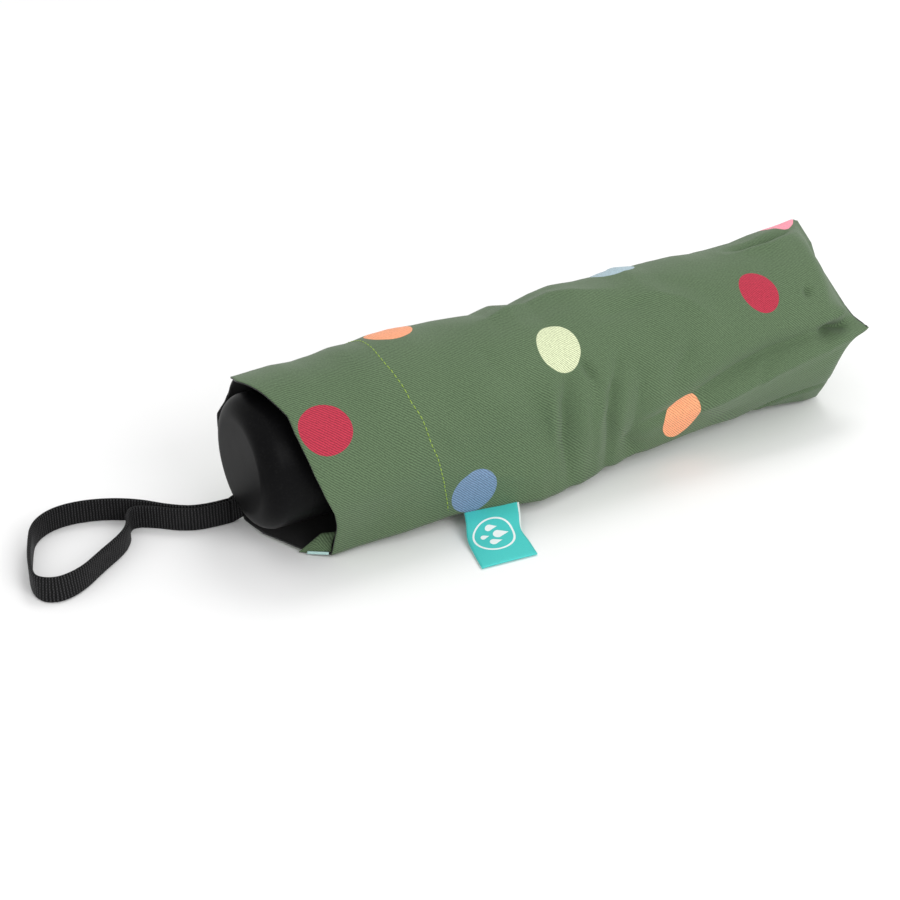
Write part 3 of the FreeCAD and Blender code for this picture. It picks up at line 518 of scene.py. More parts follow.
line.points.add(len(strap["route"]) - 1)
for point, (x, y) in zip(line.points, strap["route"]):
    point.co = (handleEnd + x * mm, y * mm, strapMiddle * mm, 1)
line.order_u = 3
line.use_endpoint_u = True
routeMesh = plainMesh(addObject("strapRoute", routeCurve), "strapRoute")
strapPath = np.array([v.co[:] for v in routeMesh.vertices])

direction = unit(np.gradient(strapPath, axis=0))
outside = np.stack([direction[:, 1], -direction[:, 0], 0 * direction[:, 0]], -1)
travel = reachAlong(strapPath)
leanShare = np.exp(-(((travel / travel[-1] - strap["leanPlace"]) / strap["leanSpread"]) ** 2))
leaning = np.radians(strap["lean"]) * np.clip(-outside[:, 1], 0, 1) ** 2 * leanShare
upward = np.array([0.0, 0.0, 1.0])
bandWide = np.cos(leaning)[:, None] * upward - np.sin(leaning)[:, None] * outside
bandThrough = np.cos(leaning)[:, None] * outside + np.sin(leaning)[:, None] * upward
halfWidth, halfThick = strap["width"] / 2 * mm, strap["thickness"] / 2 * mm
bandCentre = strapPath.copy()
bandCentre[:, 2] = strap["floorGap"] * mm + halfWidth * np.cos(leaning) + halfThick * np.abs(np.sin(leaning))
strapLoop = ribbon("strapLoop", bandCentre, bandWide, bandThrough, strap["width"], strap["thickness"], webbing)
print("strap loop:", round(travel[-1], 4), "m along its line")

tail = {
    "roll": 218.0,  # degrees round the shaft from the top, where it lies on the handle
    "mouth": (2.05, 15.2),  # where the loop ends and the tail starts to twist
    "plyOffset": 0.7, "mouthOffset": 0.8, "flatFrom": 18.0, "slotPlace": 27.0, "bend": 2.4,
    "gap": 1.8, "deep": 13.0,
    "steps": (22, 6, 8, 6),  # of the twist, the flat part, the bend and the part in the slot
}
rollAngle = math.radians(tail["roll"])
outward = np.array([0, -math.sin(rollAngle), math.cos(rollAngle)])
around = np.array([0, -math.cos(rollAngle), -math.sin(rollAngle)])
tailHeight = capRadius + tail["gap"]
flatPlace = forward * tail["flatFrom"] + outward * tailHeight
mouthPlace = np.array([*tail["mouth"], strapMiddle - shaftHeight / mm])
twistEnd = math.acos(around[2])
bendStart = tail["slotPlace"] - tail["bend"]
bendCentre = forward * bendStart + outward * (tailHeight - tail["bend"])
twistSteps, flatSteps, bendSteps, slotSteps = tail["steps"]
tailPieces = []
for ply, side in (("outerPly", 1), ("innerPly", -1)):
    band = []  # a centre, the way across and the way through at each step
    lift = tail["plyOffset"] * side
    for step in np.linspace(0, 1, twistSteps):
        angle = twistEnd * (1 - step)
        c, s = math.cos(angle), math.sin(angle)
        spin = np.array([[1, 0, 0], [0, c, -s], [0, s, c]])
        offset = tail["mouthOffset"] + (tail["plyOffset"] - tail["mouthOffset"]) * step
        centre = mouthPlace + (flatPlace - mouthPlace) * step + spin @ outward * offset * side
        band.append((centre, spin @ around, spin @ outward))
    for x in np.linspace(tail["flatFrom"] + 1, bendStart, flatSteps):
        band.append((forward * x + outward * (tailHeight + lift), around, outward))
    for angle in np.linspace(0.2, math.pi / 2, bendSteps):
        through = outward * math.cos(angle) + forward * math.sin(angle)
        band.append((bendCentre + through * (tail["bend"] + lift), around, through))
    for height in np.linspace(tailHeight - tail["bend"] - 1, tail["deep"], slotSteps):
        band.append((forward * (tail["slotPlace"] + lift) + outward * height, around, forward))
    centres, wides, throughs = zip(*band)
    tailPieces.append(
        ribbon("strapTail-" + ply, rowPlace(centres), wides, throughs, strap["width"], strap["thickness"], webbing)
    )
print("strap tail made")


# Sleeve: a soft tube of twill with a seam along its lower front, an open mouth and a sewn closed end.
sleeve = {
    "rows": 224, "columns": 190, "cloth": 0.45, "radius": 28.0, "floorGap": 0.25,
    # angle round the shaft from the far side over the top, and how far along the mouth's edge is there
    "mouthEdge": [
        (-120, 16.2), (-117, 13.6), (-113, 12.4), (-100, 9.4), (-90, 7.2), (-77, 6.1), (-69, 5.5), (-40, 5.0),
        (-10, 4.7), (2, 4.7),
        (11, 7.2), (20, 8.2), (39, 8.0), (50, 6.2), (55, 4.6), (60, 3.6), (75, 2.5), (96, 5.9), (109, 7.7), (122, 9.8),
        (133, 9.9), (144, 10.7), (163, 12.7), (181, 15.5), (199, 19.0), (210, 20.3), (215, 20.5), (233, 20.1),
        (239, 18.0), (240, 16.2),
    ],
    # along the shaft: how far the seam's ridge stands out, and how high it is lifted off the surface
    "ridge": [
        (0, 15, 1.0), (9, 16, 1.0), (21, 19, 1.0), (33, 18.3, 1.8), (44, 17.8, 3.6), (60, 17, 4.6), (76, 20, 4.6),
        (90, 22.8, 3.6), (107, 20.6, 3.0), (118, 16.4, 3.6), (129, 14.2, 5.0), (143, 12.4, 6.2), (160, 10.4, 6.0),
        (172, 10.2, 5.0), (184, 9.6, 3.4), (200, 12.8, 1.4), (209, 12.5, 0.3), (220, 12, 0),
    ],
    "liftLean": 1.53, "backFoot": (13.0, 28.6),
    "topRadius": [
        (5, 26.9), (10.8, 26.91), (17.6, 27.36), (24.5, 26.72), (31.3, 27.19), (38.1, 28.03), (45.0, 27.78),
        (51.9, 28.68), (58.9, 28.66), (66.0, 27.9), (73.1, 27.51), (80.2, 26.82), (87.3, 26.17), (94.6, 27.63),
        (102.1, 26.3), (109.8, 27.9), (117.5, 28.75), (125.1, 28.04), (132.6, 27.92), (140.0, 29.45), (147.5, 27.98),
        (155.3, 28.4), (163.2, 28.09), (171.2, 27.06), (179.1, 27.05), (187.1, 26.96), (195.2, 28.17), (203.3, 28.75),
        (211.2, 29.19), (216, 28.3),
    ],
    "ridgeDrop": 28.5, "topAngle": 62.0, "topSpread": 42.0,
    # the sewn end, from the front corner over the top to the far corner, heights from the shaft
    "endSeam": [
        (217.6, -25.6, 1.2), (215.4, -22, 3.2), (214.2, -20.5, 4.5), (213.2, -17, 7.2), (212.4, -6, 14.4),
        (211.7, -1.5, 17.2),
        (212.9, 0.5, 18.0), (214.3, 5, 20.6), (215.4, 14.9, 24.4), (213, 23, 17), (211, 29, 3), (209, 30, -5),
    ],
    "frontCorner": 177.7, "farCorner": -9.5,
    # how the cloth runs from the tube into the sewn end, above and below it
    "upperBend": {"straight": 0.45, "pull": (0, 0, 2.5)},
    "lowerBend": {"straight": 0.85, "pull": (-1.0, 0, -7.0)},
    "bodyShare": 0.86,  # the share of the rows whose widths the cloth map follows
    "columnSteps": (240, 70),  # points worked out along the tube and along the end
    "bodyEnd": [
        (-130, 204), (-100, 203), (-60, 198), (-20, 194), (0, 198), (57, 203), (120, 200), (165, 199), (178, 198),
        (200, 201),
        (222, 205), (240, 207),
    ],
    # creases: width and depth in mm, then points as along and angle; a positive depth stands out
    "creases": [
        (1.9, -1.7, 103, 147, 100, 167, 100, 192, 103, 222), (2.6, 0.8, 96, 150, 95, 172, 95.5, 195),
        (2.6, 0.9, 107, 160, 106, 180, 108, 206), (1.7, -1.6, 123, 143, 118, 161, 116, 184, 119, 228),
        (2.4, 0.8, 113, 168, 111, 190, 113, 215), (1.1, -1.2, 108.6, 141, 111.7, 157),
        (1.4, 0.8, 111.7, 157, 115.5, 161, 119.2, 154), (3.6, -1.0, 87, 145, 91, 166, 94, 189, 96, 203),
        (2.8, -1.1, 125, 149, 128.5, 162, 127, 182, 126, 214), (2.6, -1.1, 150, 151, 144, 161, 139, 169),
        (2.6, -2.3, 206, 165, 193.6, 168, 178, 171, 164.6, 177, 151.5, 186, 143, 192),
        (4.5, 1.6, 204, 179, 193, 181, 178, 186, 164, 193, 150, 203), (1.8, -0.9, 144, 193, 137, 196, 128.5, 200),
        (1.3, -0.6, 171, 192, 175, 181, 180, 176), (1.7, -4.4, 198, 171, 204, 168, 212, 167),
        (2.4, 1.2, 204, 160, 211, 158), (1.1, -1.3, 196, 135, 196, 142),
        (2.8, 1.0, 82, 92, 98, 85, 112, 83, 124, 93, 132, 97), (2.8, 0.9, 133.5, 108, 143.5, 111, 152, 122, 160, 142),
        (3.0, -0.7, 117, 115, 132, 115, 145, 110), (1.6, -1.8, 181, 84, 193, 86, 202, 83, 209, 77),
        (3.0, 0.9, 184, 92, 196, 96, 206, 90), (3.6, -0.6, 77, 111, 81, 138, 87, 145),
        (2.6, -1.2, 122.6, 204, 130.4, 226), (1.1, -1.2, 206, 221, 190, 226, 182, 234, 170, 238),
        (5.0, -0.6, 57, 174, 76, 179, 94, 175), (4.0, 0.8, 62, 196, 78, 204, 96, 214),
        (1.5, -0.5, 52, 160, 57, 168, 62, 183), (2.6, -1.5, 88, 40, 92, 10, 90, -25),
        (2.2, -1.6, 112, 46, 108, 20, 110, -15, 106, -40), (3.4, 1.1, 124, 30, 122, 0, 126, -30),
        (2.8, -1.3, 140, 60, 150, 35, 146, 5), (2.4, -1.6, 168, 50, 180, 30, 196, 12),
        (4.0, -0.8, 60, 20, 66, -10, 62, -40), (2.4, 1.2, 186, -4, 198, -22, 204, -48),
    ],
    "creaseStrength": 1.5, "creaseBlunt": 0.4,
    "creaseLip": (0.22, 2.4, 1.2),  # height of the lip, then its place and width in crease widths
    "waves": 0.45,
    # front dots: ink, place on the cloth map, and how the cloth pulls each one: long and short radius, turn
    "frontDots": [
        ("red", (19.77, -25.15), 9.26, 7.3, 143.1), ("orange", (57.0, 3.4), 8.0, 8.0, 0),
        ("lime", (102.91, -26.45), 8.48, 6.98, 71.5), ("blue", (67.26, -65.38), 8.2, 7.26, 73.5),
        ("sky", (140.9, 6.7), 8.0, 8.0, 0), ("orange", (144.45, -62.2), 9.09, 6.59, 91.6),
        ("red", (178.83, -20.34), 7.38, 6.56, 72.0), ("pink", (209.9, 18.4), 8.0, 8.0, 0),
        ("pink", (101.8, -88.5), 8.0, 8.0, 0),
    ],
    # the other dots: ink, along, angle
    "dots": [
        ("sky", 30, 25), ("pink", 71, 8), ("red", 104, 38), ("lime", 44, -32), ("blue", 128, -4), ("orange", 172, 18),
        ("lime", 203, -12), ("red", 88, -50), ("blue", 190, -58), ("sky", 22, -86), ("orange", 118, -82),
        ("pink", 158, -58),
        ("red", 62, -92),
    ],
}


def along(table, x, column=1):
    table = np.array(table, float)
    return np.interp(x, table[:, 0], table[:, column])


def inTurn(degrees):
    # The same direction within the turn that the tables use.
    return (degrees + 120) % 360 - 120


def ridgeFoot(x):
    # The ridge's tip in the cross-section at x: forwards, and up from the shaft.
    lift = along(sleeve["ridge"], x, 2)
    return -(along(sleeve["ridge"], x) + sleeve["liftLean"] * lift), -sleeve["ridgeDrop"] + lift


def ridgeAngle(x):
    y, z = ridgeFoot(x)
    return np.arctan2(z, y) + 2 * np.pi


def sleeveRadius(x, angle):
    # The cloth's distance from the shaft at places along it (mm) and angles round it (radians).
    offTop = (np.degrees(angle) - sleeve["topAngle"] + 180) % 360 - 180
    bulge = np.exp(-((offTop / sleeve["topSpread"]) ** 2))
    radius = sleeve["radius"] + (along(sleeve["topRadius"], x) - sleeve["radius"]) * bulge
    result = radius + 0 * angle
    backY, backZ = sleeve["backFoot"]
    for y, z in (ridgeFoot(x), (backY + 0 * x, -backZ + 0 * x)):
        half = np.arccos(np.clip(radius / np.hypot(y, z), -1, 1))
        offset = np.abs((angle - np.arctan2(z, y) + np.pi) % (2 * np.pi) - np.pi)
        pulled = radius / np.cos(np.minimum(np.abs(half - offset), 1.2))
        result = np.where(offset < half, np.maximum(result, pulled), result)
    down = -np.sin(angle)
    surface = shaftHeight / mm - sleeve["floorGap"]
    return np.minimum(result, np.where(down > 0.05, surface / np.maximum(down, 0.05), 1e3))


def sleeveColumn(part):
    # One line of cloth from the mouth to the sewn end; part goes from 0 at the ridge seam once round.
    startAngle = inTurn(math.degrees(ridgeAngle(20) - 2 * np.pi * part))
    mouth = along(sleeve["mouthEdge"], startAngle)
    x = mouth + (along(sleeve["bodyEnd"], startAngle) - mouth) * np.linspace(0, 1, sleeve["columnSteps"][0])
    angle = ridgeAngle(x) - 2 * np.pi * part
    body = roundShaft(x, sleeveRadius(x, angle), angle)
    lastAngle = math.degrees(angle[-1])
    facing = inTurn(lastAngle)
    front, far = sleeve["frontCorner"], sleeve["farCorner"]
    upper = far <= facing <= front
    if upper:
        share = (front - facing) / (front - far)
    else:
        share = ((facing - front) % 360) / (360 - (front - far))
    sewn = np.array(sleeve["endSeam"])
    sewnReach = reachAlong(sewn)
    seam = pointsAt(share * sewnReach[-1], sewnReach, sewn)
    bend = sleeve["upperBend" if upper else "lowerBend"]
    gap = seam[0] - body[-1, 0]
    near = body[-1] + forward * gap * bend["straight"]
    pull = forward * (-0.3 * gap) + np.array(bend["pull"])
    lead = seam + pull * min(1.0, 4 * share + 0.15, 4 * (1 - share) + 0.15)
    t = np.linspace(0, 1, sleeve["columnSteps"][1])[1:, None]
    end = (1 - t) ** 3 * body[-1] + 3 * (1 - t) ** 2 * t * near + 3 * (1 - t) * t**2 * lead + t**3 * seam
    line = np.concatenate([body, end])
    reach = reachAlong(line)
    places = np.linspace(0, reach[-1], sleeve["rows"])
    turns = np.interp(places, reach, np.r_[np.degrees(angle), np.full(len(t), lastAngle)])
    return pointsAt(places, reach, line), mouth + places, turns


def creaseDepth(x, turned, crease):
    # How far a crease moves the cloth at each place: a groove with soft lips, fading at its ends.
    width, depth, *path = crease
    path = np.reshape(path, (-1, 2)).astype(float)
    path[:, 1] = np.radians(path[:, 1]) * sleeve["radius"]
    y = np.radians(turned) * sleeve["radius"]
    lengths = np.linalg.norm(np.diff(path, axis=0), axis=1)
    total, before = lengths.sum(), 0.0
    nearest, place = np.full(x.shape, 1e9), np.zeros(x.shape)
    for start, stop, length in zip(path, path[1:], lengths):
        run = (stop - start) / length
        t = np.clip((x - start[0]) * run[0] + (y - start[1]) * run[1], 0, length)
        gap = np.hypot(x - start[0] - run[0] * t, y - start[1] - run[1] * t)
        closer = gap < nearest
        nearest, place = np.where(closer, gap, nearest), np.where(closer, (before + t) / total, place)
        before += length
    fade = np.clip(np.sin(np.pi * np.clip(place, 0.02, 0.98)), 0, 1) ** 0.5
    blunt = sleeve["creaseBlunt"]
    sharp = np.exp(-(np.sqrt(nearest**2 + blunt * blunt) - blunt) / width)
    lipHeight, lipPlace, lipWidth = sleeve["creaseLip"]
    groove = sharp - lipHeight * np.exp(-(((nearest - lipPlace * width) / (lipWidth * width)) ** 2))
    return sleeve["creaseStrength"] * depth * groove * fade


columns = [sleeveColumn(n / sleeve["columns"]) for n in range(sleeve["columns"])]
smooth, run, turned = (np.stack(parts, 1) for parts in zip(*columns))
turned = inTurn(turned)

alongWay = np.gradient(smooth, axis=0)
aroundWay = (np.roll(smooth, -1, 1) - np.roll(smooth, 1, 1)) / 2
outwards = unit(np.cross(aroundWay, alongWay) + 1e-12)
outwards *= np.where((outwards * smooth * [0, 1, 1]).sum(-1, keepdims=True).mean() < 0, -1, 1)
depth = sum((creaseDepth(run, turned, crease) for crease in sleeve["creases"]), np.zeros(run.shape))
for i, j in np.ndindex(run.shape):
    x, y, z = smooth[i, j]
    big = noise.noise(Vector((x * 0.035 + y * 0.02, y * 0.045, z * 0.05 + 3.0)))
    small = noise.noise(Vector((x * 0.11, y * 0.13 + 7.0, z * 0.12)))
    depth[i, j] += sleeve["waves"] * (big + 0.35 * small)
rowShare = np.linspace(0, 1, sleeve["rows"])[:, None]
calm = np.clip(rowShare / 0.03, 0.25, 1) * np.clip((1 - rowShare) / 0.012, 0, 1)
shaped = smooth + outwards * (depth * calm)[..., None]
shaped[..., 2] = np.maximum(shaped[..., 2], -shaftHeight / mm + sleeve["floorGap"])

sideways = np.roll(shaped, -1, 1) - shaped
span = np.hypot(sideways[..., 1], sideways[..., 2])
bodyRows = int(sleeve["rows"] * sleeve["bodyShare"])
span[bodyRows:] = span[bodyRows]
arcs = np.concatenate([np.zeros((span.shape[0], 1)), np.cumsum(span, axis=1)], 1)
topColumn = int(np.argmin(np.abs(turned[0] - 90)))
arcs -= arcs[:, topColumn : topColumn + 1]
sleeveMap = np.stack([np.concatenate([run, run[:, :1]], 1), arcs], -1) * mm


def mapPlace(x, angle):
    # Where a place on the sleeve lies on its cloth map, in millimetres.
    sweep = np.radians(np.linspace(90, angle, 90))
    length = reachAlong(roundShaft(0, sleeveRadius(np.full(90, float(x)), sweep), sweep))[-1]
    return (x, length if angle < 90 else -length)


def onSleeve(x, angle, out):
    # A point on the finished sleeve, lifted off it by out millimetres.
    gap = np.hypot(run - x, np.radians((turned - angle + 180) % 360 - 180) * sleeve["radius"])
    nearest = np.unravel_index(np.argmin(gap), gap.shape)
    return shaped[nearest] + outwards[nearest] * out


sleeveDots = sleeve["frontDots"] + [(ink, mapPlace(x, angle)) for ink, x, angle in sleeve["dots"]]
clothGreen, clothDeep = srgb(89, 110, 80), srgb(77, 97, 70)
sleeveCloth = dottedCloth("sleeveCloth", sleeveDots, clothGreen, clothDeep)
sleevePiece = gridPiece("sleeveCover", rowPlace(shaped), sleeveMap, [sleeveCloth, innerBlack], closed=True)
cleanPiece(sleevePiece, 0.00001)
wall(sleevePiece, sleeve["cloth"], inner=1, rim=1)
print("sleeve made:", len(sleevePiece.data.polygons), "faces")


# Stitches
def stitchTree():
    # A row of stitches along a line: points at the pitch, a thread capsule on each, turned along the line.
    tree, entry, leave = newGroup(
        "stitchRow",
        [
            ("Geometry", "Geometry"), ("Pitch", "Float", 0.002), ("Stitch Length", "Float", 0.0015),
            ("Thread Radius", "Float", 0.0002), ("Wobble", "Float", 0.08), ("Thread", "Material"),
        ],
        [("Geometry", "Geometry")],
        "GeometryNodeTree",
    )
    calc = maths(tree)
    line = addNode(tree, "GeometryNodeMeshToCurve", {"Mesh": entry["Geometry"]})[0]
    points = addNode(tree, "GeometryNodeCurveToPoints", {"Curve": line, "Length": entry["Pitch"]}, mode="LENGTH")
    ball = {"Segments": 8, "Rings": 6, "Radius": entry["Thread Radius"]}
    capsule = addNode(tree, "GeometryNodeMeshUVSphere", ball)["Mesh"]
    longer = calc("MULTIPLY", calc("DIVIDE", entry["Stitch Length"], entry["Thread Radius"]), 0.5)
    stretch = addNode(tree, "ShaderNodeCombineXYZ", {"X": 1, "Y": 1, "Z": longer})[0]
    form = addNode(tree, "GeometryNodeTransform", {"Geometry": capsule, "Scale": stretch})["Geometry"]
    ends = [vectorMath(tree, "SCALE", {0: (side,) * 3, "Scale": entry["Wobble"]})[0] for side in (-1, 1)]
    wobble = {"Seed": 11, **dict(enumerate(ends))}
    wobble = addNode(tree, "FunctionNodeRandomValue", wobble, data_type="FLOAT_VECTOR")[0]
    spots = {"Points": points["Points"], "Rotation": points["Rotation"], "Instance": form}
    placed = addNode(tree, "GeometryNodeInstanceOnPoints", spots)[0]
    shaken = addNode(tree, "GeometryNodeRotateInstances", {"Instances": placed, "Rotation": wobble})[0]
    real = addNode(tree, "GeometryNodeRealizeInstances", {0: shaken})[0]
    feed(tree, leave[0], addNode(tree, "GeometryNodeSetMaterial", {"Geometry": real, "Material": entry["Thread"]})[0])
    return tree


stitchRow = stitchTree()


def stitches(name, points, pitch, length, radius):
    # Sews along a line of row points and keeps the result as a plain mesh. Lengths in millimetres.
    mesh = bpy.data.meshes.new(name)
    mesh.from_pydata(rowPlace(points).tolist(), [(n, n + 1) for n in range(len(points) - 1)], [])
    line = addObject(name, mesh)
    sew = line.modifiers.new("sew", "NODES")
    sew.node_group = stitchRow
    values = {"Pitch": pitch * mm, "Stitch Length": length * mm, "Thread Radius": radius * mm, "Thread": threadYarn}
    for item in stitchRow.interface.items_tree:
        if item.item_type == "SOCKET" and item.in_out == "INPUT" and item.name in values:
            sew[item.identifier] = values[item.name]
    sewn = plainMesh(line, name)
    sewn.shade_smooth()
    return addObject(name, sewn)


hem = {
    # angle round the shaft, and how far along the row is there
    "line": [
        (-115, 50), (-60, 44), (0, 43.5), (45, 45.5), (72, 47.0), (106, 46.6), (129, 48.4), (154, 50.9), (181, 54.3),
        (210, 58.1), (236, 60.9),
    ],
    "pitch": 1.9, "stitch": 1.5, "thread": 0.17, "sink": 0.08, "smoothing": 8,
}
hemPoints = np.array([onSleeve(along(hem["line"], a), a, hem["sink"]) for a in np.linspace(-112, 234, 300)])
hemPoints = hemPoints[np.r_[True, np.linalg.norm(np.diff(hemPoints, axis=0), axis=1) > 0.2]]
for n in range(hem["smoothing"]):
    hemPoints[1:-1] = (hemPoints[:-2] + 2 * hemPoints[1:-1] + hemPoints[2:]) / 4
hemPiece = stitches("hemStitches", hemPoints, hem["pitch"], hem["stitch"], hem["thread"])
print("hem stitched:", len(hemPiece.data.polygons), "faces")


# Label: a woven ribbon folded in two and sewn into the ridge seam, lying out over the surface.
label = {
    # each side from the seam to the folded end, heights above the surface
    "leftSide": [(64.6, -23.4, 5.6), (62.6, -28.5, 4.3), (60.2, -33.8, 1.9), (58.6, -41.0, 0.95), (57.2, -48.1, 0.75)],
    "rightSide": [(81.6, -27.2, 5.9), (79.6, -32.0, 4.4), (77.4, -37.0, 2.4), (76.9, -43.6, 1.2), (76.0, -49.7, 0.8)],
    "width": 18, "steps": (30, 22), "bow": 0.5, "layerGap": 0.52, "cloth": 0.3, "backShift": 0.7,
    "teal": srgb(78, 212, 206),
    "tealDeep": srgb(58, 188, 184),
    "white": srgb(240, 246, 245),
    # the ring and the raindrops in it: places and sizes on the label's map
    "ring": (12.4, 8.6), "ringRadius": 6.6, "ringLine": 0.33,
    "drops": [(12.4, 10.0, 1.55), (9.3, 7.4, 1.2), (15.4, 7.6, 1.2), (12.5, 5.1, 0.85)],
}


def smoothLine(points, count):
    # An even, rounded line through a few points.
    points = np.array(points, float)
    reach = reachAlong(points)
    slopes = np.gradient(points, reach, axis=0)
    places = np.linspace(0, reach[-1], count)
    n = np.clip(np.searchsorted(reach, places) - 1, 0, len(points) - 2)
    span = (reach[n + 1] - reach[n])[:, None]
    t = ((places - reach[n])[:, None]) / span
    return (
        (2 * t**3 - 3 * t**2 + 1) * points[n]
        + (t**3 - 2 * t**2 + t) * span * slopes[n]
        + (3 * t**2 - 2 * t**3) * points[n + 1]
        + (t**3 - t**2) * span * slopes[n + 1]
    )


def labelMaterial():
    # Woven satin ribbon: teal with a thin ring round a few raindrops, on the label's own map.
    material, tree, shader, calc = newMaterial(
        "labelRibbon", {"Specular IOR Level": 0.4, "Sheen Weight": 0.15, "Sheen Roughness": 0.4}
    )
    ownMap = clothPlace(tree)
    weave = placeGroup(tree, twill, ownMap, Rib_Spacing=0.00042, Thread_Spacing=0.00026)
    ringX, ringY = label["ring"]
    fromRing = vectorMath(tree, "DISTANCE", {0: ownMap, 1: (ringX * mm, ringY * mm, 0)})["Value"]
    off = calc("ABSOLUTE", calc("SUBTRACT", fromRing, label["ringRadius"] * mm))
    mask = calc("LESS_THAN", off, label["ringLine"] * mm)
    for x, y, size in label["drops"]:
        drop = placeGroup(tree, raindrop, ownMap, Place=(x * mm, y * mm, 0), Size=size * mm)
        mask = calc("MAXIMUM", mask, drop["Mask"])
    colour = blendColours(tree, calc("MULTIPLY", weave["Shade"], 0.8), label["tealDeep"], label["teal"])
    colour = blendColours(tree, mask, colour, label["white"])
    height = calc("MULTIPLY_ADD", mask, 0.5, weave["Height"])
    dress(tree, shader, colour, calc("MULTIPLY_ADD", mask, 0.15, 0.5), height, 0.5, 0.00008)
    return material


labelBack = plainCloth("labelBack", srgb(238, 242, 241), srgb(196, 226, 224), 0.7, 0.0004)
lengthSteps, widthSteps = label["steps"]
leftLine, rightLine = (smoothLine(label[side], lengthSteps) for side in ("leftSide", "rightSide"))
share = np.linspace(0, 1, widthSteps)[None, :, None]
upper = leftLine[:, None] * (1 - share) + rightLine[:, None] * share
upper[..., 2] += label["bow"] * np.sin(np.pi * share[..., 0]) * np.sin(np.linspace(0, 3.0, lengthSteps))[:, None]
lower = upper[::-1].copy()
lower[..., 2] = np.maximum(lower[..., 2] - label["layerGap"], 0.18)
lower[..., 0] += label["backShift"] * np.linspace(0, 1, lengthSteps)[:, None]
tip = (upper[-1] + lower[0]) / 2 + np.array([-0.05, -0.45, 0])
labelPoints = np.concatenate([upper, tip[None], lower])
labelPoints[..., 2] -= shaftHeight / mm
acrossLabel = np.linspace(0, label["width"], widthSteps)[None]
labelMap = together(reachAlong(labelPoints.mean(1))[:, None], acrossLabel) * mm
labelPiece = gridPiece("sleeveLabel", rowPlace(labelPoints), labelMap, [labelMaterial(), labelBack])
wall(labelPiece, label["cloth"], inner=1, rim=1)
print("label made")


# Turned corner of the sleeve's hem, standing in the low front of the mouth, with a thin pale strip along its foot.
flap = {
    "foot": [(12.6, -12.4, -28.55), (20.4, -19.4, -27.6)],  # where it rises from the sleeve's inner face, from the far end
    "top": [(12.6, -12.4, -28.35), (19.2, -15.0, -22.2), (23.4, -17.4, -21.6)],
    "steps": (24, 9), "bulge": 0.7, "cloth": 0.4, "length": 11, "height": 6,
    "edgeShare": (0.3, 0.96), "edgeWidth": 0.9, "edgeCloth": 0.25,
    "edgePlace": (-0.75, -0.35, 0.15), "edgeLift": 0.3, "edgeSteps": 18,
    "edgeColour": srgb(196, 226, 222),
    "edgeDeep": srgb(150, 196, 192),
}
share = np.linspace(0, 1, flap["steps"][0])
farFoot, nearFoot = np.array(flap["foot"])
footLine = farFoot + (nearFoot - farFoot) * share[:, None]
topLine = pointsAt(share, (0, 0.62, 1), np.array(flap["top"]))
rise = np.linspace(0, 1, flap["steps"][1])[:, None, None]
flapPoints = footLine[None] + (topLine - footLine)[None] * rise
flapPoints[..., 0] -= flap["bulge"] * np.sin(np.pi * rise[..., 0]) * np.minimum(1, 2 * share)[None]
flapMap = together(share[None] * flap["length"], rise[..., 0] * flap["height"]) * mm
flapCloth = dottedCloth("flapCloth", [], clothGreen, clothDeep)
flapPiece = gridPiece("hemFlap", rowPlace(flapPoints[::-1]), flapMap[::-1], [flapCloth, innerBlack])
wall(flapPiece, flap["cloth"], inner=1)
# A thin pale strip of cloth laid along the flap's foot.
edgeCloth = plainCloth("flapPaleEdge", flap["edgeColour"], flap["edgeDeep"], 0.7, 0.0004)
edgeShare = np.linspace(*flap["edgeShare"], flap["edgeSteps"])[:, None]
edgeAcross = np.tile(unit(topLine[-1] - nearFoot), (flap["edgeSteps"], 1))
edgeOut = unit(np.cross(unit(nearFoot - farFoot), edgeAcross))
edgeLine = farFoot + (nearFoot - farFoot) * edgeShare + np.array(flap["edgePlace"]) + edgeAcross * flap["edgeLift"]
edgePiece = ribbon(
    "flapPaleEdge", rowPlace(edgeLine), edgeAcross, edgeOut, flap["edgeWidth"], flap["edgeCloth"], edgeCloth
)
print("hem corner turned")


# Rolled canopy: six panels wrapped round the ribs one way, with loose folds, drawn in over the crown.
roll = {
    "rows": 150, "columns": 216, "panels": 6, "start": 38.3, "outer": 23.7, "inner": 18.6,
    "foldDepth": 1.5,
    "wrap": 0.5,  # turns that the folds wind along the roll
    "lapShare": 0.86,  # how much of each panel rises before it drops to the next
    "tieSqueeze": 0.5, "cloth": 0.25, "mapRadius": 23.5,
    "tuck": 8,  # how far the cloth is turned in at its open end
    # from where the roll narrows to the shaft: along and radius
    "shoulder": [(191, 22.6), (194.5, 20.0), (196.5, 15.5), (197.4, 10.0), (197.8, 5.0), (197.9, 1.9)],
    "dots": [
        ("red", (60, 20)), ("sky", (88, -32)), ("orange", (128, 14)), ("pink", (150, -40)), ("lime", (72, 62)),
        ("blue", (118, -66)), ("red", (168, 44)), ("orange", (52, -58)), ("sky", (140, 66)), ("pink", (180, -8)),
        ("lime", (96, -6)),
    ],
}
tie = {
    "place": 104.0, "width": 16.0, "radius": 24.4, "thickness": 0.62, "tabAngle": 29.0,
    "tabRadius": 25.12, "tabThickness": 0.55, "stitchRadius": 25.42, "stitchSide": 6.3,
    "mapStart": 0.3,  # which part of the canopy's print the band shows
}
canopyCloth = dottedCloth("canopyCloth", roll["dots"], clothGreen, clothDeep)
start, inner, outer = roll["start"], roll["inner"], roll["outer"]
profile = [(start + roll["tuck"], inner), (start, inner + 0.3), (start, inner + 2.5), (start + 0.6, outer - 1.2)]
profile += [(start + 2.4, outer), *((x, outer) for x in np.linspace(start + 6, 186, 40)), *roll["shoulder"]]
profile = smoothLine([(x, r, 0) for x, r in profile], roll["rows"])
spin = np.linspace(0, 2 * np.pi, roll["columns"], endpoint=False)
rollX, rollR = profile[:, :1], profile[:, 1:2]
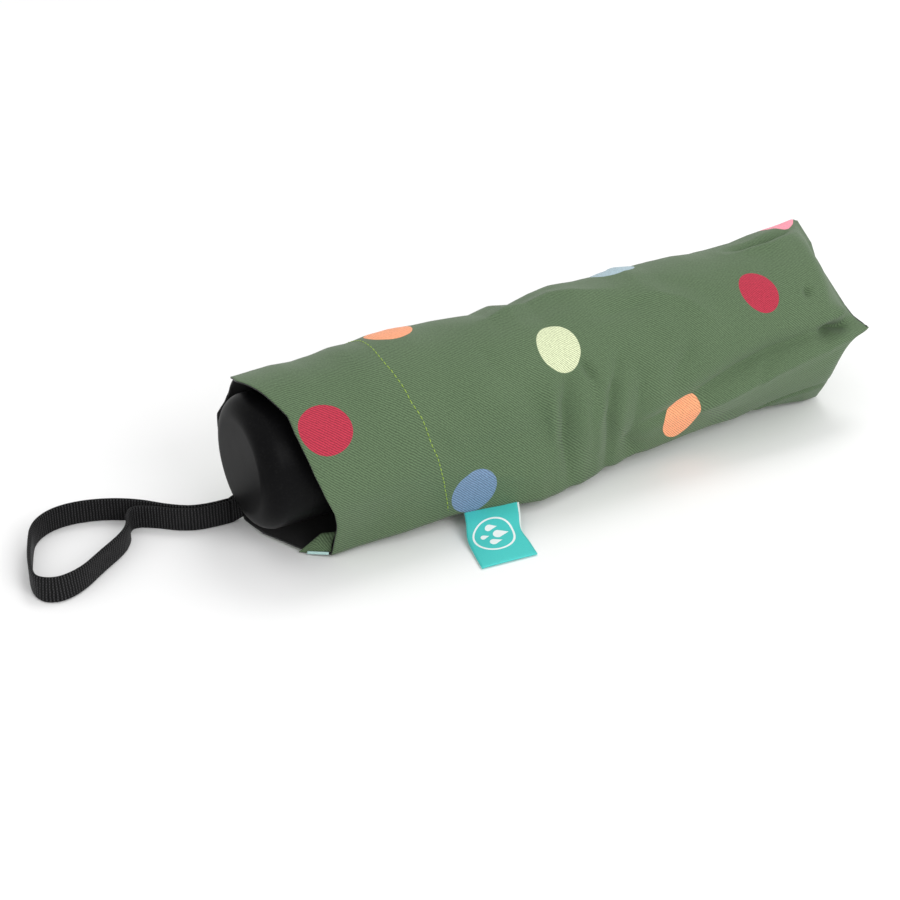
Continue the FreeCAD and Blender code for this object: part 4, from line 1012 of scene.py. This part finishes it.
phase = roll["panels"] * (spin[None] + roll["wrap"] * 2 * np.pi * (rollX - start) / 160)
step = (phase / (2 * np.pi)) % 1
lap = np.where(step < roll["lapShare"], step / roll["lapShare"], (1 - step) / (1 - roll["lapShare"]))
settle = np.clip((rollR - 4) / 14, 0, 1)
fold = roll["foldDepth"] * (lap - 1) * settle * np.where(rollX < start + 0.2, 0.2, 1)
squeeze = -roll["tieSqueeze"] * np.exp(-(((rollX - tie["place"]) / 9) ** 2))
loose = np.zeros(fold.shape)
for i, j in np.ndindex(fold.shape):
    loose[i, j] = noise.noise(Vector((rollX[i, 0] * 0.03, math.cos(spin[j]) * 1.6, math.sin(spin[j]) * 1.6 + 5)))
radius = rollR + fold + squeeze + np.minimum(loose * 1.2 * settle - 0.35 * settle, 0)
rollArc = np.linspace(-np.pi, np.pi, roll["columns"] + 1) * roll["mapRadius"]
rollMap = together((reachAlong(profile) + start - roll["tuck"])[:, None], rollArc[None]) * mm
rollPiece = gridPiece("rolledCanopy", rowPlace(roundShaft(rollX, radius, spin)), rollMap, [canopyCloth], closed=True)
cleanPiece(rollPiece, 0.00001)
wall(rollPiece, roll["cloth"])
print("canopy rolled:", len(rollPiece.data.polygons), "faces")


def bandRound(name, angles, bandRadius, width, thickness):
    centres = rowPlace(roundShaft(tie["place"], bandRadius, angles))
    wides = np.tile(forward, (len(angles), 1))
    return ribbon(name, centres, wides, roundShaft(0, 1, angles), width, thickness, canopyCloth, tie["mapStart"])


loopAngles = math.radians(62) + np.linspace(0, 2 * np.pi, 140)
tieBand = bandRound("tieBand", loopAngles, tie["radius"], tie["width"], tie["thickness"])
tabAngles = np.radians(np.linspace(90 - tie["tabAngle"], 90 + tie["tabAngle"], 24))
tieTab = bandRound("tieTab", tabAngles, tie["tabRadius"], tie["width"] - 1, tie["tabThickness"])
tabSweep = np.radians(90 + np.linspace(4 - tie["tabAngle"], tie["tabAngle"] - 4, 20))
tabRows = [
    roundShaft(tie["place"] + side, tie["stitchRadius"], sweep)
    for side, sweep in ((-tie["stitchSide"], tabSweep), (tie["stitchSide"], tabSweep[::-1]))
]
tabStitches = stitches("tieStitches", np.concatenate(tabRows), 1.9, 1.4, 0.14)
print("tie made")


# What each piece rides on and stands for
for piece, body, stands, slot in (
    (strapLoop, "handle", ["wrist_strap"], "strap_webbing"),
    (tailPieces[0], "handle", ["strap_tail"], "strap_webbing"),
    (tailPieces[1], "handle", [], "strap_webbing"),
    (sleevePiece, "sleeve", ["sleeve"], "sleeve_cloth"),
    (hemPiece, "sleeve", ["hem_stitch"], "stitch_thread"),
    (labelPiece, "sleeve", ["sleeve_label"], "label_cloth"),
    (flapPiece, "sleeve", [], "sleeve_cloth"),
    (edgePiece, "sleeve", [], "stitch_thread"),
    (rollPiece, "canopy_stage", ["canopy"], "canopy_cloth"),
    (tieBand, "canopy_stage", ["tie_strap"], "canopy_cloth"),
    (tieTab, "canopy_stage", [], "canopy_cloth"),
    (tabStitches, "canopy_stage", [], "stitch_thread"),
):
    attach(piece, body)
    if stands:
        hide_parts(*stands)

floorMesh = bpy.data.meshes.new("floor")
half = studio["floorSize"] / 2
floorMesh.from_pydata([(-half, -half, 0), (half, -half, 0), (half, half, 0), (-half, half, 0)], [], [(0, 1, 2, 3)])
floorMesh.materials.append(newMaterial("floorPaint", {"Roughness": 0.9, "Base Color": studio["floorColour"]})[0])
addObject("floor", floorMesh)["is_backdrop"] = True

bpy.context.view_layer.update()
sizes = [[list(map(float, c)) for c in cadBox], [list(map(float, c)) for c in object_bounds()]]
print("CAD box", np.round(sizes[0], 4).tolist(), "visual box", np.round(sizes[1], 4).tolist())
